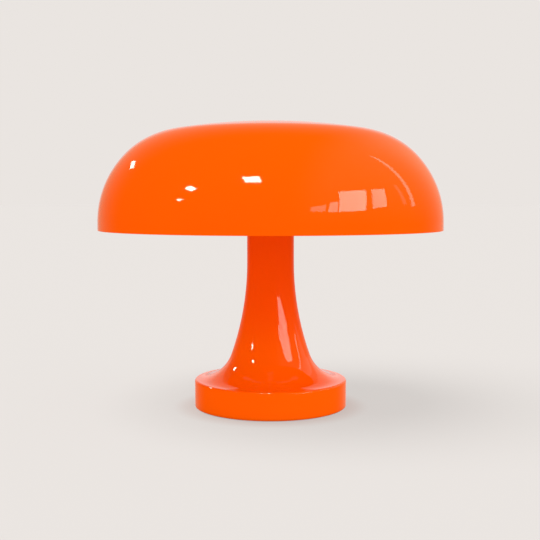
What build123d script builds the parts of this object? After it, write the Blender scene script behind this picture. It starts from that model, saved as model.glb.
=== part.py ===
from build123d import *
import os
from math import cos, radians, sin, sqrt

# Mushroom table lamp: a wide glossy dome on a slim stem that flares out into a round foot.
# Millimetres, +Z up. The origin is the centre of the lamp on the surface it stands on,
# and the cord inlet faces +Y.

# ---------------------------------------------------------------- driving dimensions
# Shade
shade_radius = 160.0
shade_rim_drop = 16.2
shade_wall = 3.0
shade_skirt_height = 7.2
shade_side_radius = 90.0
shade_side_angle = 44.7
shade_shoulder_radius = 77.0
shade_shoulder_angle = 35.5
shade_lip_radius = 0.4

# Foot and stem, one hollow moulding
base_radius = 71.6
base_height = 25.2
base_edge_radius = 2.0
base_bottom_radius = 1.2
base_wall = 3.0
stem_radius = 21.8
stem_top_height = 183.0
upper_flare_radius = 282.0
upper_flare_angle = 18.1

# Underside
foot_thickness = 1.5
foot_radius = 6.0
foot_count = 4
foot_edge_radius = 0.5
base_ground_gap = 1.0
fixing_inset = 13.6
cover_thickness = 2.5
cover_screw_count = 3
cover_edge_chamfer = 0.5
cover_head_sink = 1.25
screw_boss_radius = 4.0
screw_boss_depth = 14.0

# Ballast
ballast_inset = 19.6
ballast_bottom = 10.0
ballast_thickness = 14.0
ballast_recess_radius = 13.0
ballast_recess_depth = 7.0
rib_thickness = 2.5
rib_count = 4
ballast_edge_radius = 1.5
pocket_width = 28.0
pocket_ceiling = 17.0

# Threaded lamp pipe and its nuts
pipe_radius = 5.0
pipe_bore = 3.8
pipe_bottom = 11.0
washer_radius = 10.0
washer_thickness = 1.0
nut_flats = 14.0
nut_thickness = 4.0
pipe_thread_stand_out = 2.0
pipe_end_chamfer = 0.4

# Cord inlet
cord_radius = 3.0
gland_height = 13.0
gland_clearance = 0.2
gland_body_radius = 4.6
gland_flange_radius = 6.2
gland_flange_thickness = 1.6
clamp_inset = 11.6
clamp_screw_spacing = 16.0
clamp_bar_depth = 7.0
clamp_bar_thickness = 3.0
clamp_boss_radius = 3.4
clamp_boss_depth = 9.0

# Terminal block in the foot
base_terminal_width = 20.0
base_terminal_depth = 16.0
base_terminal_height = 12.0
base_terminal_distance = 26.0
terminal_spacing = 10.0
terminal_screw_radius = 2.0
terminal_mark_depth = 0.4
terminal_mouth_radius = 1.4
terminal_corner_radius = 1.0

# Lamp head: the steel box on the stem that carries the four lampholders
stem_cap_thickness = 2.0
stem_cap_spigot = 4.0
stem_cap_chamfer = 0.4
head_half_width = 20.0
head_wall = 2.0
head_height = 38.0
head_corner_radius = 3.0
head_post_radius = 3.0
head_post_offset = 14.5
lamp_axis_above_head_floor = 18.0
lid_thickness = 2.0
head_terminal_width = 22.0
head_terminal_height = 12.0
head_terminal_leg = 3.5
head_terminal_screw_radius = 1.6
head_terminal_screw_circle = 8.0
head_terminal_screw_offset = 2.4
wire_radius = 0.9
wire_pair_offset = 1.2
tail_offset = 2.0
wire_bend_radius = 4.0

# Shade carrier
carrier_column_radius = 10.0
carrier_column_height = 11.0
carrier_seat_radius = 26.0
carrier_seat_thickness = 3.0
carrier_spigot_radius = 19.7
carrier_spigot_height = 12.0
carrier_wall = 3.0
carrier_seat_edge_radius = 0.8
carrier_spigot_chamfer = 1.0
shade_fit_clearance = 0.3
carrier_screw_radius = 3.0
carrier_screw_head_radius = 6.0
carrier_screw_head_height = 3.5
carrier_screw_length = 14.0
carrier_screw_chamfer = 0.6
carrier_pilot_spare = 0.5

# Lampholders and bulbs, measured outward from the lamp's axis
holder_radius = 13.5
holder_length = 46.0
holder_rear_radius = 10.0
holder_rear_taper = 8.0
holder_back_wall = 6.0
holder_chamber_radius = 8.0
holder_chamber_length = 10.0
holder_partition = 3.0
holder_ring_count = 4
holder_ring_depth = 0.6
holder_mouth_radius = 1.2
nipple_inner_length = 7.0
nipple_nut_thickness = 3.0
cap_thread_radius = 6.95
cap_clearance = 0.3
shell_thickness = 0.5
shell_length = 17.0
shell_recess = 3.0
contact_thickness = 0.5
contact_width = 4.0
contact_rise = 2.2
contact_gap = 0.3
bulb_length = 78.0
bulb_radius = 22.5
bulb_wall = 0.8
bulb_cap_length = 21.0
bulb_cap_insulator = 3.5
bulb_contact_radius = 2.4
bulb_insulator_tip_radius = 3.4
bulb_contact_height = 0.8
bulb_neck_radius = 6.9
bulb_neck_curve = 18.0
bulb_neck_spigot = 5.0
bulb_cap_wall = 0.4
bulb_thread_count = 5
bulb_thread_depth = 0.3
bulb_thread_pitch = 2.8

# Small screws
small_screw_radius = 1.25
small_screw_head_radius = 2.8
small_screw_head_height = 1.8
small_screw_slot_width = 0.8
small_screw_slot_depth = 0.8
screw_clearance = 0.1
assembly_gap = 0.1

# ---------------------------------------------------------------- derived places
shade_rim_height = stem_top_height - shade_rim_drop
fixing_circle = base_radius - fixing_inset
ballast_radius = base_radius - ballast_inset
clamp_distance = base_radius - clamp_inset
cover_screw_start_angle = 90 / cover_screw_count
foot_start_angle = 180 / foot_count
rib_start_angle = 180 / rib_count
cover_bottom = foot_thickness
cover_top = cover_bottom + cover_thickness
base_bottom = base_ground_gap
base_inner_radius = base_radius - base_wall
ballast_top = ballast_bottom + ballast_thickness
flare_end_radius = base_radius - base_edge_radius
upper_flare_width = upper_flare_radius * (1 - cos(radians(upper_flare_angle)))
upper_flare_drop = upper_flare_radius * sin(radians(upper_flare_angle))
lower_flare_width = flare_end_radius - stem_radius - upper_flare_width
lower_flare_radius = lower_flare_width / cos(radians(upper_flare_angle))
lower_flare_drop = lower_flare_radius * (1 - sin(radians(upper_flare_angle)))
flare_top_height = base_height + lower_flare_drop + upper_flare_drop

head_floor = stem_top_height + stem_cap_thickness
head_top = head_floor + head_height
head_inner_floor = head_floor + head_wall
head_inner_half = head_half_width - head_wall
lamp_axis_height = head_floor + lamp_axis_above_head_floor
lid_top = head_top + lid_thickness
carrier_seat_bottom = lid_top + carrier_column_height
shade_seat_height = carrier_seat_bottom + carrier_seat_thickness
shade_boss_inner = carrier_spigot_radius + shade_fit_clearance
shade_boss_outer = shade_boss_inner + shade_wall

shoulder_start_angle = radians(shade_side_angle)
crown_start_angle = radians(shade_side_angle + shade_shoulder_angle)
shoulder_centre_radius = (
    shade_radius
    - shade_side_radius
    + (shade_side_radius - shade_shoulder_radius) * cos(shoulder_start_angle)
)
crown_width = shoulder_centre_radius + shade_shoulder_radius * cos(crown_start_angle)
crown_radius = crown_width / cos(crown_start_angle)
crown_angle = 90 - shade_side_angle - shade_shoulder_angle

holder_mouth = head_half_width + holder_length
chamber_start = head_half_width + holder_back_wall
partition_start = chamber_start + holder_chamber_length
socket_start = partition_start + holder_partition
socket_radius = cap_thread_radius + cap_clearance + shell_thickness + assembly_gap
shell_inner_radius = cap_thread_radius + cap_clearance
shell_outer_radius = shell_inner_radius + shell_thickness
shell_end = holder_mouth - shell_recess
shell_start = shell_end - shell_length
contact_top = socket_start + contact_rise
bulb_tip = contact_top + contact_gap
bulb_end = bulb_tip + bulb_length
cap_start = bulb_tip + bulb_contact_height
cap_thread_start = cap_start + bulb_cap_insulator
cap_end = bulb_tip + bulb_cap_length
globe_centre = bulb_end - bulb_radius

pipe_nut_top = head_inner_floor + washer_thickness + nut_thickness
pipe_top = pipe_nut_top + pipe_thread_stand_out
head_terminal_bottom = lamp_axis_height - head_terminal_height / 2
head_terminal_top = lamp_axis_height + head_terminal_height / 2
base_terminal_bottom = pocket_ceiling - base_terminal_height
wire_run_height = base_terminal_bottom + base_terminal_height / 4
lower_washer_top = ballast_bottom + ballast_recess_depth
lower_nut_top = lower_washer_top - washer_thickness

lamp_angles = {"right": 0, "back": 90, "left": 180, "front": 270}

os.makedirs("parts", exist_ok=True)


def save(piece, name):
    """Label a finished piece and write it to its own file."""
    piece.label = name
    export_step(piece, f"parts/{name}.step")


def radial_plane(angle):
    """Plane through a bulb's axis: local x runs outward along it, local y is up."""
    outward = Vector(cos(radians(angle)), sin(radians(angle)), 0)
    return Plane(origin=(0, 0, lamp_axis_height), x_dir=outward, z_dir=outward.cross(Vector(0, 0, 1)))


def radial_axis(angle):
    """The axis of the lampholder and bulb on that side."""
    return Axis((0, 0, lamp_axis_height), (cos(radians(angle)), sin(radians(angle)), 0))


def face_plane(angle, distance):
    """Plane square to a bulb's axis, that far out, facing outward, with local y up."""
    outward = Vector(cos(radians(angle)), sin(radians(angle)), 0)
    origin = outward * distance + Vector(0, 0, lamp_axis_height)
    return Plane(origin=origin, x_dir=Vector(0, 0, 1).cross(outward), z_dir=outward)


def dome(thickness_in):
    """The shade's outer form, or its inside when the wall is taken off."""
    with BuildPart() as form:
        with BuildSketch(Plane.XZ):
            with BuildLine():
                skirt = Line(
                    (shade_radius - thickness_in, shade_rim_height),
                    (shade_radius - thickness_in, shade_rim_height + shade_skirt_height),
                )
                side = JernArc(skirt @ 1, (0, 1), shade_side_radius - thickness_in, shade_side_angle)
                shoulder = JernArc(
                    side @ 1, side % 1, shade_shoulder_radius - thickness_in, shade_shoulder_angle
                )
                crown = JernArc(shoulder @ 1, shoulder % 1, crown_radius - thickness_in, crown_angle)
                axis_line = Line(crown @ 1, (0, shade_rim_height))
                Line(axis_line @ 1, skirt @ 0)
            make_face()
        revolve(axis=Axis.Z)
    return form.part


def flare_line(thickness_in):
    """Half outline of the stem's side, down its flare to the top of the foot."""
    stem = Line(
        (stem_radius - thickness_in, stem_top_height),
        (stem_radius - thickness_in, flare_top_height),
    )
    upper = JernArc(stem @ 1, (0, -1), upper_flare_radius + thickness_in, upper_flare_angle)
    lower = JernArc(
        upper @ 1, upper % 1, lower_flare_radius + thickness_in, 90 - upper_flare_angle
    )
    return stem, lower


def foot_and_stem():
    """The outer form of foot and stem, with the foot's rounded edges."""
    with BuildPart() as form:
        with BuildSketch(Plane.XZ):
            with BuildLine():
                stem, lower = flare_line(0)
                edge = JernArc(lower @ 1, (1, 0), base_edge_radius, -90)
                side = Line(edge @ 1, (base_radius, base_bottom + base_bottom_radius))
                bottom_edge = JernArc(side @ 1, (0, -1), base_bottom_radius, -90)
                floor_line = Line(bottom_edge @ 1, (0, base_bottom))
                axis_line = Line(floor_line @ 1, (0, stem_top_height))
                Line(axis_line @ 1, stem @ 0)
            make_face()
        revolve(axis=Axis.Z)
    return form.part


def stem_hollow():
    """The hollow inside foot and stem, a wall's thickness in from the outer form."""
    with BuildPart() as form:
        with BuildSketch(Plane.XZ):
            with BuildLine():
                stem, lower = flare_line(base_wall)
                edge_drop = Line(lower @ 1, (flare_end_radius, 0))
                floor_line = Line(edge_drop @ 1, (0, 0))
                axis_line = Line(floor_line @ 1, (0, stem_top_height))
                Line(axis_line @ 1, stem @ 0)
            make_face()
            with Locations((base_inner_radius / 2, stem_top_height / 2)):
                Rectangle(base_inner_radius, stem_top_height, mode=Mode.INTERSECT)
        revolve(axis=Axis.Z)
    return form.part


def small_screw(length):
    """A pan-head screw with its head's seat at z = 0, shank up, slot below."""
    with BuildPart() as screw:
        with BuildSketch():
            Circle(small_screw_head_radius)
        extrude(amount=-small_screw_head_height)
        fillet(screw.faces().sort_by(Axis.Z)[0].edges(), small_screw_head_height / 3)
        with BuildSketch():
            Circle(small_screw_radius)
        extrude(amount=length)
        chamfer(screw.faces().sort_by(Axis.Z)[-1].edges(), small_screw_radius / 3)
        with BuildSketch(Plane.XY.offset(-small_screw_head_height)):
            Rectangle(2 * small_screw_head_radius, small_screw_slot_width)
            Rectangle(small_screw_slot_width, 2 * small_screw_head_radius)
        extrude(amount=small_screw_slot_depth, mode=Mode.SUBTRACT)
    return screw.part


def hex_nut(thickness, bore):
    """A hexagon nut standing on z = 0."""
    with BuildPart() as nut:
        with BuildSketch():
            RegularPolygon(nut_flats / 2, 6, major_radius=False)
            Circle(bore, mode=Mode.SUBTRACT)
        extrude(amount=thickness)
    return nut.part


def round_washer(outer, bore, thickness):
    """A plain washer standing on z = 0."""
    with BuildPart() as washer:
        with BuildSketch():
            Circle(outer)
            Circle(bore, mode=Mode.SUBTRACT)
        extrude(amount=thickness)
    return washer.part


# ---------------------------------------------------------------- shade
with BuildPart() as shade_hollow:
    add(dome(shade_wall))
    with BuildSketch(Plane.XY.offset(shade_seat_height)):
        Circle(shade_boss_outer)
        Circle(shade_boss_inner, mode=Mode.SUBTRACT)
    extrude(amount=shade_radius, mode=Mode.SUBTRACT)

with BuildPart() as shade:
    add(dome(0))
    add(shade_hollow.part, mode=Mode.SUBTRACT)
    fillet(shade.faces().sort_by(Axis.Z)[0].edges(), shade_lip_radius)
save(shade.part, "shade")

# ---------------------------------------------------------------- foot and stem
pilot_radius = small_screw_radius + screw_clearance
clamp_bar_top = gland_height - cord_radius
clamp_anvil_height = gland_height + cord_radius
clamp_screw_places = [(x, clamp_distance) for x in (-clamp_screw_spacing / 2, clamp_screw_spacing / 2)]

with BuildPart() as foot_hollow:
    add(stem_hollow())
    # bosses for the screws that hold the bottom cover
    with BuildSketch(Plane.XY.offset(cover_top)):
        with PolarLocations(fixing_circle, cover_screw_count, start_angle=cover_screw_start_angle):
            Circle(screw_boss_radius)
            Circle(pilot_radius, mode=Mode.SUBTRACT)
    extrude(amount=screw_boss_depth, mode=Mode.SUBTRACT)
    with BuildSketch(Plane.XY.offset(cover_top + screw_boss_depth)):
        with PolarLocations(fixing_circle, cover_screw_count, start_angle=cover_screw_start_angle):
            Circle(screw_boss_radius)
    extrude(amount=base_height, mode=Mode.SUBTRACT)
    # ribs that the ballast is drawn up against
    with BuildSketch(Plane.XY.offset(ballast_top)):
        with PolarLocations((ballast_radius + stem_radius) / 2, rib_count, start_angle=rib_start_angle):
            Rectangle(ballast_radius - stem_radius, rib_thickness)
    extrude(amount=base_height, mode=Mode.SUBTRACT)
    # bosses and anvil of the cord clamp
    with BuildSketch(Plane.XY.offset(clamp_bar_top)):
        with Locations(*clamp_screw_places):
            Circle(clamp_boss_radius)
            Circle(pilot_radius, mode=Mode.SUBTRACT)
    extrude(amount=clamp_boss_depth, mode=Mode.SUBTRACT)
    with BuildSketch(Plane.XY.offset(clamp_bar_top + clamp_boss_depth)):
        with Locations(*clamp_screw_places):
            Circle(clamp_boss_radius)
    extrude(amount=base_height, mode=Mode.SUBTRACT)
    with BuildSketch(Plane.XY.offset(clamp_anvil_height)):
        with Locations((0, clamp_distance)):
            Rectangle(clamp_screw_spacing - clamp_boss_radius, clamp_bar_depth)
    extrude(amount=base_height, mode=Mode.SUBTRACT)

with BuildPart() as stem_base:
    add(foot_and_stem())
    add(foot_hollow.part, mode=Mode.SUBTRACT)
    with BuildSketch(Plane.XZ):
        with Locations((0, gland_height)):
            Circle(gland_body_radius + assembly_gap)
    extrude(amount=-base_radius - base_wall, mode=Mode.SUBTRACT)
save(stem_base.part, "stem_base")

# ---------------------------------------------------------------- underside
with BuildPart() as bottom_cover:
    with BuildSketch(Plane.XY.offset(cover_bottom)):
        Circle(base_inner_radius - assembly_gap)
        with PolarLocations(fixing_circle, cover_screw_count, start_angle=cover_screw_start_angle):
            Circle(pilot_radius, mode=Mode.SUBTRACT)
    extrude(amount=cover_thickness)
    chamfer(bottom_cover.faces().sort_by(Axis.Z)[0].outer_wire().edges(), cover_edge_chamfer)
    # sinks for the screw heads
    with BuildSketch(Plane.XY.offset(cover_bottom)):
        with PolarLocations(fixing_circle, cover_screw_count, start_angle=cover_screw_start_angle):
            Circle(small_screw_head_radius + screw_clearance)
    extrude(amount=cover_head_sink, mode=Mode.SUBTRACT)
save(bottom_cover.part, "bottom_cover")

cover_screw = small_screw(screw_boss_depth - small_screw_head_height)
with BuildPart() as cover_screws:
    with Locations(Plane.XY.offset(cover_bottom + cover_head_sink)):
        with PolarLocations(fixing_circle, cover_screw_count, start_angle=cover_screw_start_angle):
            add(cover_screw)
save(cover_screws.part, "cover_screws")

with BuildPart() as rubber_feet:
    with BuildSketch():
        with PolarLocations(fixing_circle, foot_count, start_angle=foot_start_angle):
            Circle(foot_radius)
    extrude(amount=foot_thickness)
    fillet(rubber_feet.edges().group_by(Axis.Z)[0], foot_edge_radius)
save(rubber_feet.part, "rubber_feet")

# ---------------------------------------------------------------- ballast
with BuildPart() as ballast:
    with BuildSketch(Plane.XY.offset(ballast_bottom)):
        Circle(ballast_radius)
        Circle(pipe_radius + assembly_gap, mode=Mode.SUBTRACT)
    extrude(amount=ballast_thickness)
    fillet(ballast.faces().sort_by(Axis.Z)[-1].outer_wire().edges(), ballast_edge_radius)
    # recess for the pipe's lower nut
    with BuildSketch(Plane.XY.offset(ballast_bottom)):
        Circle(ballast_recess_radius)
    extrude(amount=ballast_recess_depth, mode=Mode.SUBTRACT)
    # pocket for the terminal block, open towards the cord inlet
    with BuildSketch(Plane.XY.offset(ballast_bottom)):
        with Locations((0, ballast_radius / 2)):
            Rectangle(pocket_width, ballast_radius)
    extrude(amount=pocket_ceiling - ballast_bottom, mode=Mode.SUBTRACT)
    with BuildSketch(Plane.XY.offset(pocket_ceiling)):
        with Locations((0, base_terminal_distance + base_terminal_depth / 2)):
            Circle(pilot_radius)
    extrude(amount=(ballast_top - pocket_ceiling) * 0.8, mode=Mode.SUBTRACT)
save(ballast.part, "ballast_weight")

# ---------------------------------------------------------------- lamp pipe, washers and nuts
with BuildPart() as lamp_pipe:
    with BuildSketch(Plane.XY.offset(pipe_bottom)):
        Circle(pipe_radius)
        Circle(pipe_bore, mode=Mode.SUBTRACT)
    extrude(amount=pipe_top - pipe_bottom)
    pipe_rims = lamp_pipe.edges().filter_by(GeomType.CIRCLE)
    pipe_ends = pipe_rims.filter_by(lambda rim: abs(rim.radius - pipe_radius) < pipe_end_chamfer)
    chamfer(pipe_ends, pipe_end_chamfer)
save(lamp_pipe.part, "lamp_pipe")

pipe_hole = pipe_radius + assembly_gap
with BuildPart() as lower_washer:
    with Locations((0, 0, lower_nut_top)):
        add(round_washer(washer_radius, pipe_hole, washer_thickness))
save(lower_washer.part, "lower_washer")

with BuildPart() as lower_nut:
    with Locations((0, 0, lower_nut_top - nut_thickness)):
        add(hex_nut(nut_thickness, pipe_hole))
save(lower_nut.part, "lower_nut")

with BuildPart() as upper_washer:
    with Locations((0, 0, head_inner_floor)):
        add(round_washer(washer_radius, pipe_hole, washer_thickness))
save(upper_washer.part, "upper_washer")

with BuildPart() as upper_nut:
    with Locations((0, 0, head_inner_floor + washer_thickness)):
        add(hex_nut(nut_thickness, pipe_hole))
save(upper_nut.part, "upper_nut")

# ---------------------------------------------------------------- cord inlet and clamp
with BuildPart() as cord_gland:
    with BuildSketch(Plane.XZ):
        with Locations((0, gland_height)):
            Circle(gland_flange_radius)
    extrude(amount=-base_radius - 2 * base_wall)
    with BuildSketch(Plane.XY):
        Circle(base_radius + gland_flange_thickness)
        Circle(base_inner_radius - gland_flange_thickness, mode=Mode.SUBTRACT)
    extrude(amount=base_height, mode=Mode.INTERSECT)
    # the neck that sits in the wall
    with BuildSketch(Plane.XY):
        Circle(base_radius)
        Circle(base_inner_radius, mode=Mode.SUBTRACT)
    neck_wall = extrude(amount=base_height, mode=Mode.PRIVATE)
    with BuildSketch(Plane.XZ):
        with Locations((0, gland_height)):
            Circle(gland_body_radius)
    neck = extrude(amount=-base_radius - 2 * base_wall, mode=Mode.PRIVATE)
    add(neck_wall - neck, mode=Mode.SUBTRACT)
    with BuildSketch(Plane.XZ):
        with Locations((0, gland_height)):
            Circle(cord_radius + gland_clearance)
    extrude(amount=-base_radius - 2 * base_wall, mode=Mode.SUBTRACT)
save(cord_gland.part, "cord_gland")

with BuildPart() as cord_clamp:
    with BuildSketch(Plane.XY.offset(clamp_bar_top - clamp_bar_thickness)):
        with Locations((0, clamp_distance)):
            SlotCenterToCenter(clamp_screw_spacing, clamp_bar_depth)
        with Locations(*clamp_screw_places):
            Circle(pilot_radius, mode=Mode.SUBTRACT)
    extrude(amount=clamp_bar_thickness)
save(cord_clamp.part, "cord_clamp")

clamp_screw = small_screw(clamp_bar_thickness + clamp_boss_depth * 0.8)
with BuildPart() as clamp_screws:
    with Locations(Plane.XY.offset(clamp_bar_top - clamp_bar_thickness)):
        with Locations(*clamp_screw_places):
            add(clamp_screw)
save(clamp_screws.part, "clamp_screws")

# ---------------------------------------------------------------- terminal block in the foot
base_terminal_centre = base_terminal_distance + base_terminal_depth / 2
base_pole_screws = [
    (x, base_terminal_centre + dy)
    for x in (-terminal_spacing / 2, terminal_spacing / 2)
    for dy in (-base_terminal_depth / 4, base_terminal_depth / 4)
]
terminal_screw_depth = base_terminal_height / 4

with BuildPart() as base_terminal:
    with BuildSketch(Plane.XY.offset(base_terminal_bottom)):
        with Locations((0, base_terminal_centre)):
            RectangleRounded(base_terminal_width, base_terminal_depth, terminal_corner_radius)
        with Locations((0, base_terminal_centre)):
            Circle(pilot_radius, mode=Mode.SUBTRACT)
    extrude(amount=base_terminal_height)
    # wells of the clamping screws
    with BuildSketch(Plane.XY.offset(base_terminal_bottom)):
        with Locations(*base_pole_screws):
            Circle(terminal_screw_radius + screw_clearance)
    extrude(amount=terminal_screw_depth, mode=Mode.SUBTRACT)
    # well of the fixing screw's head
    with BuildSketch(Plane.XY.offset(base_terminal_bottom)):
        with Locations((0, base_terminal_centre)):
            Circle(small_screw_head_radius + screw_clearance)
    extrude(amount=small_screw_head_height + terminal_mark_depth, mode=Mode.SUBTRACT)
    # mouths that the supply cord's wires enter
    mouth_height = pocket_ceiling - base_terminal_height / 2
    mouth_origin = (0, base_terminal_distance + base_terminal_depth, mouth_height)
    mouth_plane = Plane(origin=mouth_origin, x_dir=(1, 0, 0), z_dir=(0, -1, 0))
    with BuildSketch(mouth_plane):
        with GridLocations(terminal_spacing, 0, 2, 1):
            Circle(terminal_mouth_radius)
    extrude(amount=base_terminal_depth / 8, mode=Mode.SUBTRACT)
save(base_terminal.part, "base_terminal")

with BuildPart() as base_terminal_screws:
    with BuildSketch(Plane.XY.offset(base_terminal_bottom + terminal_mark_depth)):
        with Locations(*base_pole_screws):
            Circle(terminal_screw_radius)
    extrude(amount=terminal_screw_depth - terminal_mark_depth)
    with BuildSketch(Plane.XY.offset(base_terminal_bottom + terminal_mark_depth)):
        with Locations(*base_pole_screws):
            Rectangle(2 * terminal_screw_radius, small_screw_slot_width)
    extrude(amount=terminal_mark_depth, mode=Mode.SUBTRACT)
save(base_terminal_screws.part, "base_terminal_screws")

with BuildPart() as base_terminal_fixing:
    fixing_seat = base_terminal_bottom + small_screw_head_height + terminal_mark_depth
    with Locations((0, base_terminal_centre, fixing_seat)):
        add(small_screw(base_terminal_height))
save(base_terminal_fixing.part, "base_terminal_fixing")

# ---------------------------------------------------------------- lamp head
corner_places = [(x * head_post_offset, y * head_post_offset) for x in (-1, 1) for y in (-1, 1)]

with BuildPart() as stem_cap:
    with BuildSketch(Plane.XY.offset(stem_top_height)):
        Circle(stem_radius)
    extrude(amount=stem_cap_thickness)
    chamfer(stem_cap.edges().group_by(Axis.Z)[-1], stem_cap_chamfer)
    with BuildSketch(Plane.XY.offset(stem_top_height)):
        Circle(stem_radius - base_wall - assembly_gap)
        Circle(stem_radius - 2 * base_wall, mode=Mode.SUBTRACT)
    extrude(amount=-stem_cap_spigot)
    with BuildSketch(Plane.XY.offset(stem_top_height)):
        Circle(pipe_hole)
    extrude(amount=stem_cap_thickness, mode=Mode.SUBTRACT)
save(stem_cap.part, "stem_cap")

with BuildPart() as lamp_head:
    with BuildSketch(Plane.XY.offset(head_floor)):
        RectangleRounded(2 * head_half_width, 2 * head_half_width, head_corner_radius)
    extrude(amount=head_height)
    with BuildSketch(Plane.XY.offset(head_inner_floor)):
        RectangleRounded(2 * head_inner_half, 2 * head_inner_half, head_corner_radius - head_wall)
        with Locations(*corner_places):
            Circle(head_post_radius, mode=Mode.SUBTRACT)
            Rectangle(head_post_radius, head_post_radius, mode=Mode.SUBTRACT)
    extrude(amount=head_height, mode=Mode.SUBTRACT)
    with BuildSketch(Plane.XY.offset(head_top)):
        with Locations(*corner_places):
            Circle(pilot_radius)
    extrude(amount=-head_height / 3, mode=Mode.SUBTRACT)
    with BuildSketch(Plane.XY.offset(head_floor)):
        Circle(pipe_hole)
    extrude(amount=head_wall, mode=Mode.SUBTRACT)
    for angle in lamp_angles.values():
        with BuildSketch(face_plane(angle, head_inner_half - assembly_gap)):
            Circle(pipe_hole)
        extrude(amount=head_wall + 2 * assembly_gap, mode=Mode.SUBTRACT)
save(lamp_head.part, "lamp_head")

with BuildPart() as head_terminal:
    with BuildSketch(Plane.XY.offset(head_terminal_bottom)):
        RectangleRounded(head_terminal_width, head_terminal_width, terminal_corner_radius)
    extrude(amount=head_terminal_height)
    leg_reach = head_terminal_width - head_terminal_leg
    with BuildSketch(Plane.XY.offset(head_inner_floor)):
        with GridLocations(leg_reach, leg_reach, 2, 2):
            RectangleRounded(head_terminal_leg, head_terminal_leg, head_terminal_leg / 7)
    extrude(amount=head_terminal_bottom - head_inner_floor)
    head_screw_places = [(-head_terminal_screw_offset, 0), (head_terminal_screw_offset, 0)]
    for angle in lamp_angles.values():
        for side in (-1, 1):
            place = Vector(head_terminal_screw_circle, side * head_terminal_screw_offset)
            place = place.rotate(Axis.Z, angle)
            head_screw_places.append((place.X, place.Y))
    with BuildSketch(Plane.XY.offset(head_terminal_top)):
        with Locations(*head_screw_places):
            Circle(head_terminal_screw_radius + screw_clearance)
    extrude(amount=-terminal_screw_depth, mode=Mode.SUBTRACT)
save(head_terminal.part, "head_terminal")

with BuildPart() as head_terminal_screws:
    with BuildSketch(Plane.XY.offset(head_terminal_top - terminal_mark_depth)):
        with Locations(*head_screw_places):
            Circle(head_terminal_screw_radius)
    extrude(amount=-terminal_screw_depth + terminal_mark_depth)
    with BuildSketch(Plane.XY.offset(head_terminal_top - terminal_mark_depth)):
        with Locations(*head_screw_places):
            Rectangle(2 * head_terminal_screw_radius, small_screw_slot_width)
    extrude(amount=-terminal_mark_depth, mode=Mode.SUBTRACT)
save(head_terminal_screws.part, "head_terminal_screws")

with BuildPart() as head_lid:
    with BuildSketch(Plane.XY.offset(head_top)):
        RectangleRounded(2 * head_half_width, 2 * head_half_width, head_corner_radius)
        with Locations(*corner_places):
            Circle(pilot_radius, mode=Mode.SUBTRACT)
        Circle(carrier_screw_radius + screw_clearance, mode=Mode.SUBTRACT)
    extrude(amount=lid_thickness)
save(head_lid.part, "head_lid")

lid_screw = small_screw(lid_thickness + head_height * 0.25)
with BuildPart() as lid_screws:
    with Locations(*[Location((x, y, lid_top), (180, 0, 0)) for x, y in corner_places]):
        add(lid_screw)
save(lid_screws.part, "lid_screws")

# ---------------------------------------------------------------- shade carrier
with BuildPart() as shade_carrier:
    with BuildSketch(Plane.XY.offset(lid_top)):
        Circle(carrier_column_radius)
    extrude(amount=carrier_column_height)
    with BuildSketch(Plane.XY.offset(carrier_seat_bottom)):
        Circle(carrier_seat_radius)
    extrude(amount=carrier_seat_thickness)
    seat_rims = shade_carrier.edges().filter_by(GeomType.CIRCLE).filter_by(
        lambda e: abs(e.radius - carrier_seat_radius) < assembly_gap
    )
    fillet(seat_rims, carrier_seat_edge_radius)
    with BuildSketch(Plane.XY.offset(shade_seat_height)):
        Circle(carrier_spigot_radius)
        Circle(carrier_spigot_radius - carrier_wall, mode=Mode.SUBTRACT)
    extrude(amount=carrier_spigot_height)
    chamfer(shade_carrier.edges().filter_by(GeomType.CIRCLE).group_by(Axis.Z)[-1], carrier_spigot_chamfer)
    with BuildSketch(Plane.XY.offset(lid_top)):
        Circle(carrier_screw_radius + screw_clearance)
    extrude(amount=carrier_screw_length - lid_thickness + carrier_pilot_spare, mode=Mode.SUBTRACT)
save(shade_carrier.part, "shade_carrier")

with BuildPart() as carrier_screw:
    with BuildSketch(Plane.XY.offset(head_top)):
        RegularPolygon(carrier_screw_head_radius, 6)
    extrude(amount=-carrier_screw_head_height)
    with BuildSketch(Plane.XY.offset(head_top)):
        Circle(carrier_screw_radius)
    extrude(amount=carrier_screw_length)
    chamfer(carrier_screw.faces().sort_by(Axis.Z)[-1].edges(), carrier_screw_chamfer)
save(carrier_screw.part, "carrier_screw")

# ---------------------------------------------------------------- lampholders


def lampholder(angle):
    """A moulded lampholder: entry hole, wire chamber, partition and socket, with grip rings."""
    axis = radial_axis(angle)
    with BuildPart() as holder:
        with BuildSketch(radial_plane(angle)):
            with BuildLine():
                rear = Line((head_half_width, 0), (head_half_width, holder_rear_radius))
                cone = Line(rear @ 1, (head_half_width + holder_rear_taper, holder_radius))
                barrel = Line(cone @ 1, (holder_mouth, holder_radius))
                mouth = Line(barrel @ 1, (holder_mouth, 0))
                Line(mouth @ 1, rear @ 0)
            make_face()
            with Locations(((head_half_width + chamber_start) / 2, pipe_hole / 2)):
                Rectangle(holder_back_wall, pipe_hole, mode=Mode.SUBTRACT)
            with Locations(((chamber_start + partition_start) / 2, holder_chamber_radius / 2)):
                Rectangle(holder_chamber_length, holder_chamber_radius, mode=Mode.SUBTRACT)
            with Locations(((socket_start + holder_mouth) / 2, socket_radius / 2)):
                Rectangle(holder_mouth - socket_start, socket_radius, mode=Mode.SUBTRACT)
            ring_pitch = shell_length / holder_ring_count
            for ring in range(holder_ring_count):
                with Locations((shell_start + (ring + 0.5) * ring_pitch, holder_radius)):
                    Rectangle(ring_pitch / 3, 2 * holder_ring_depth, mode=Mode.SUBTRACT)
        revolve(axis=axis)
        rim = holder.edges().filter_by(GeomType.CIRCLE).sort_by(
            lambda e: (e.center() - Vector(0, 0, lamp_axis_height)).length
        )[-2:]
        fillet(rim.sort_by(SortBy.RADIUS)[-1], holder_mouth_radius)
    return holder.part


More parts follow.
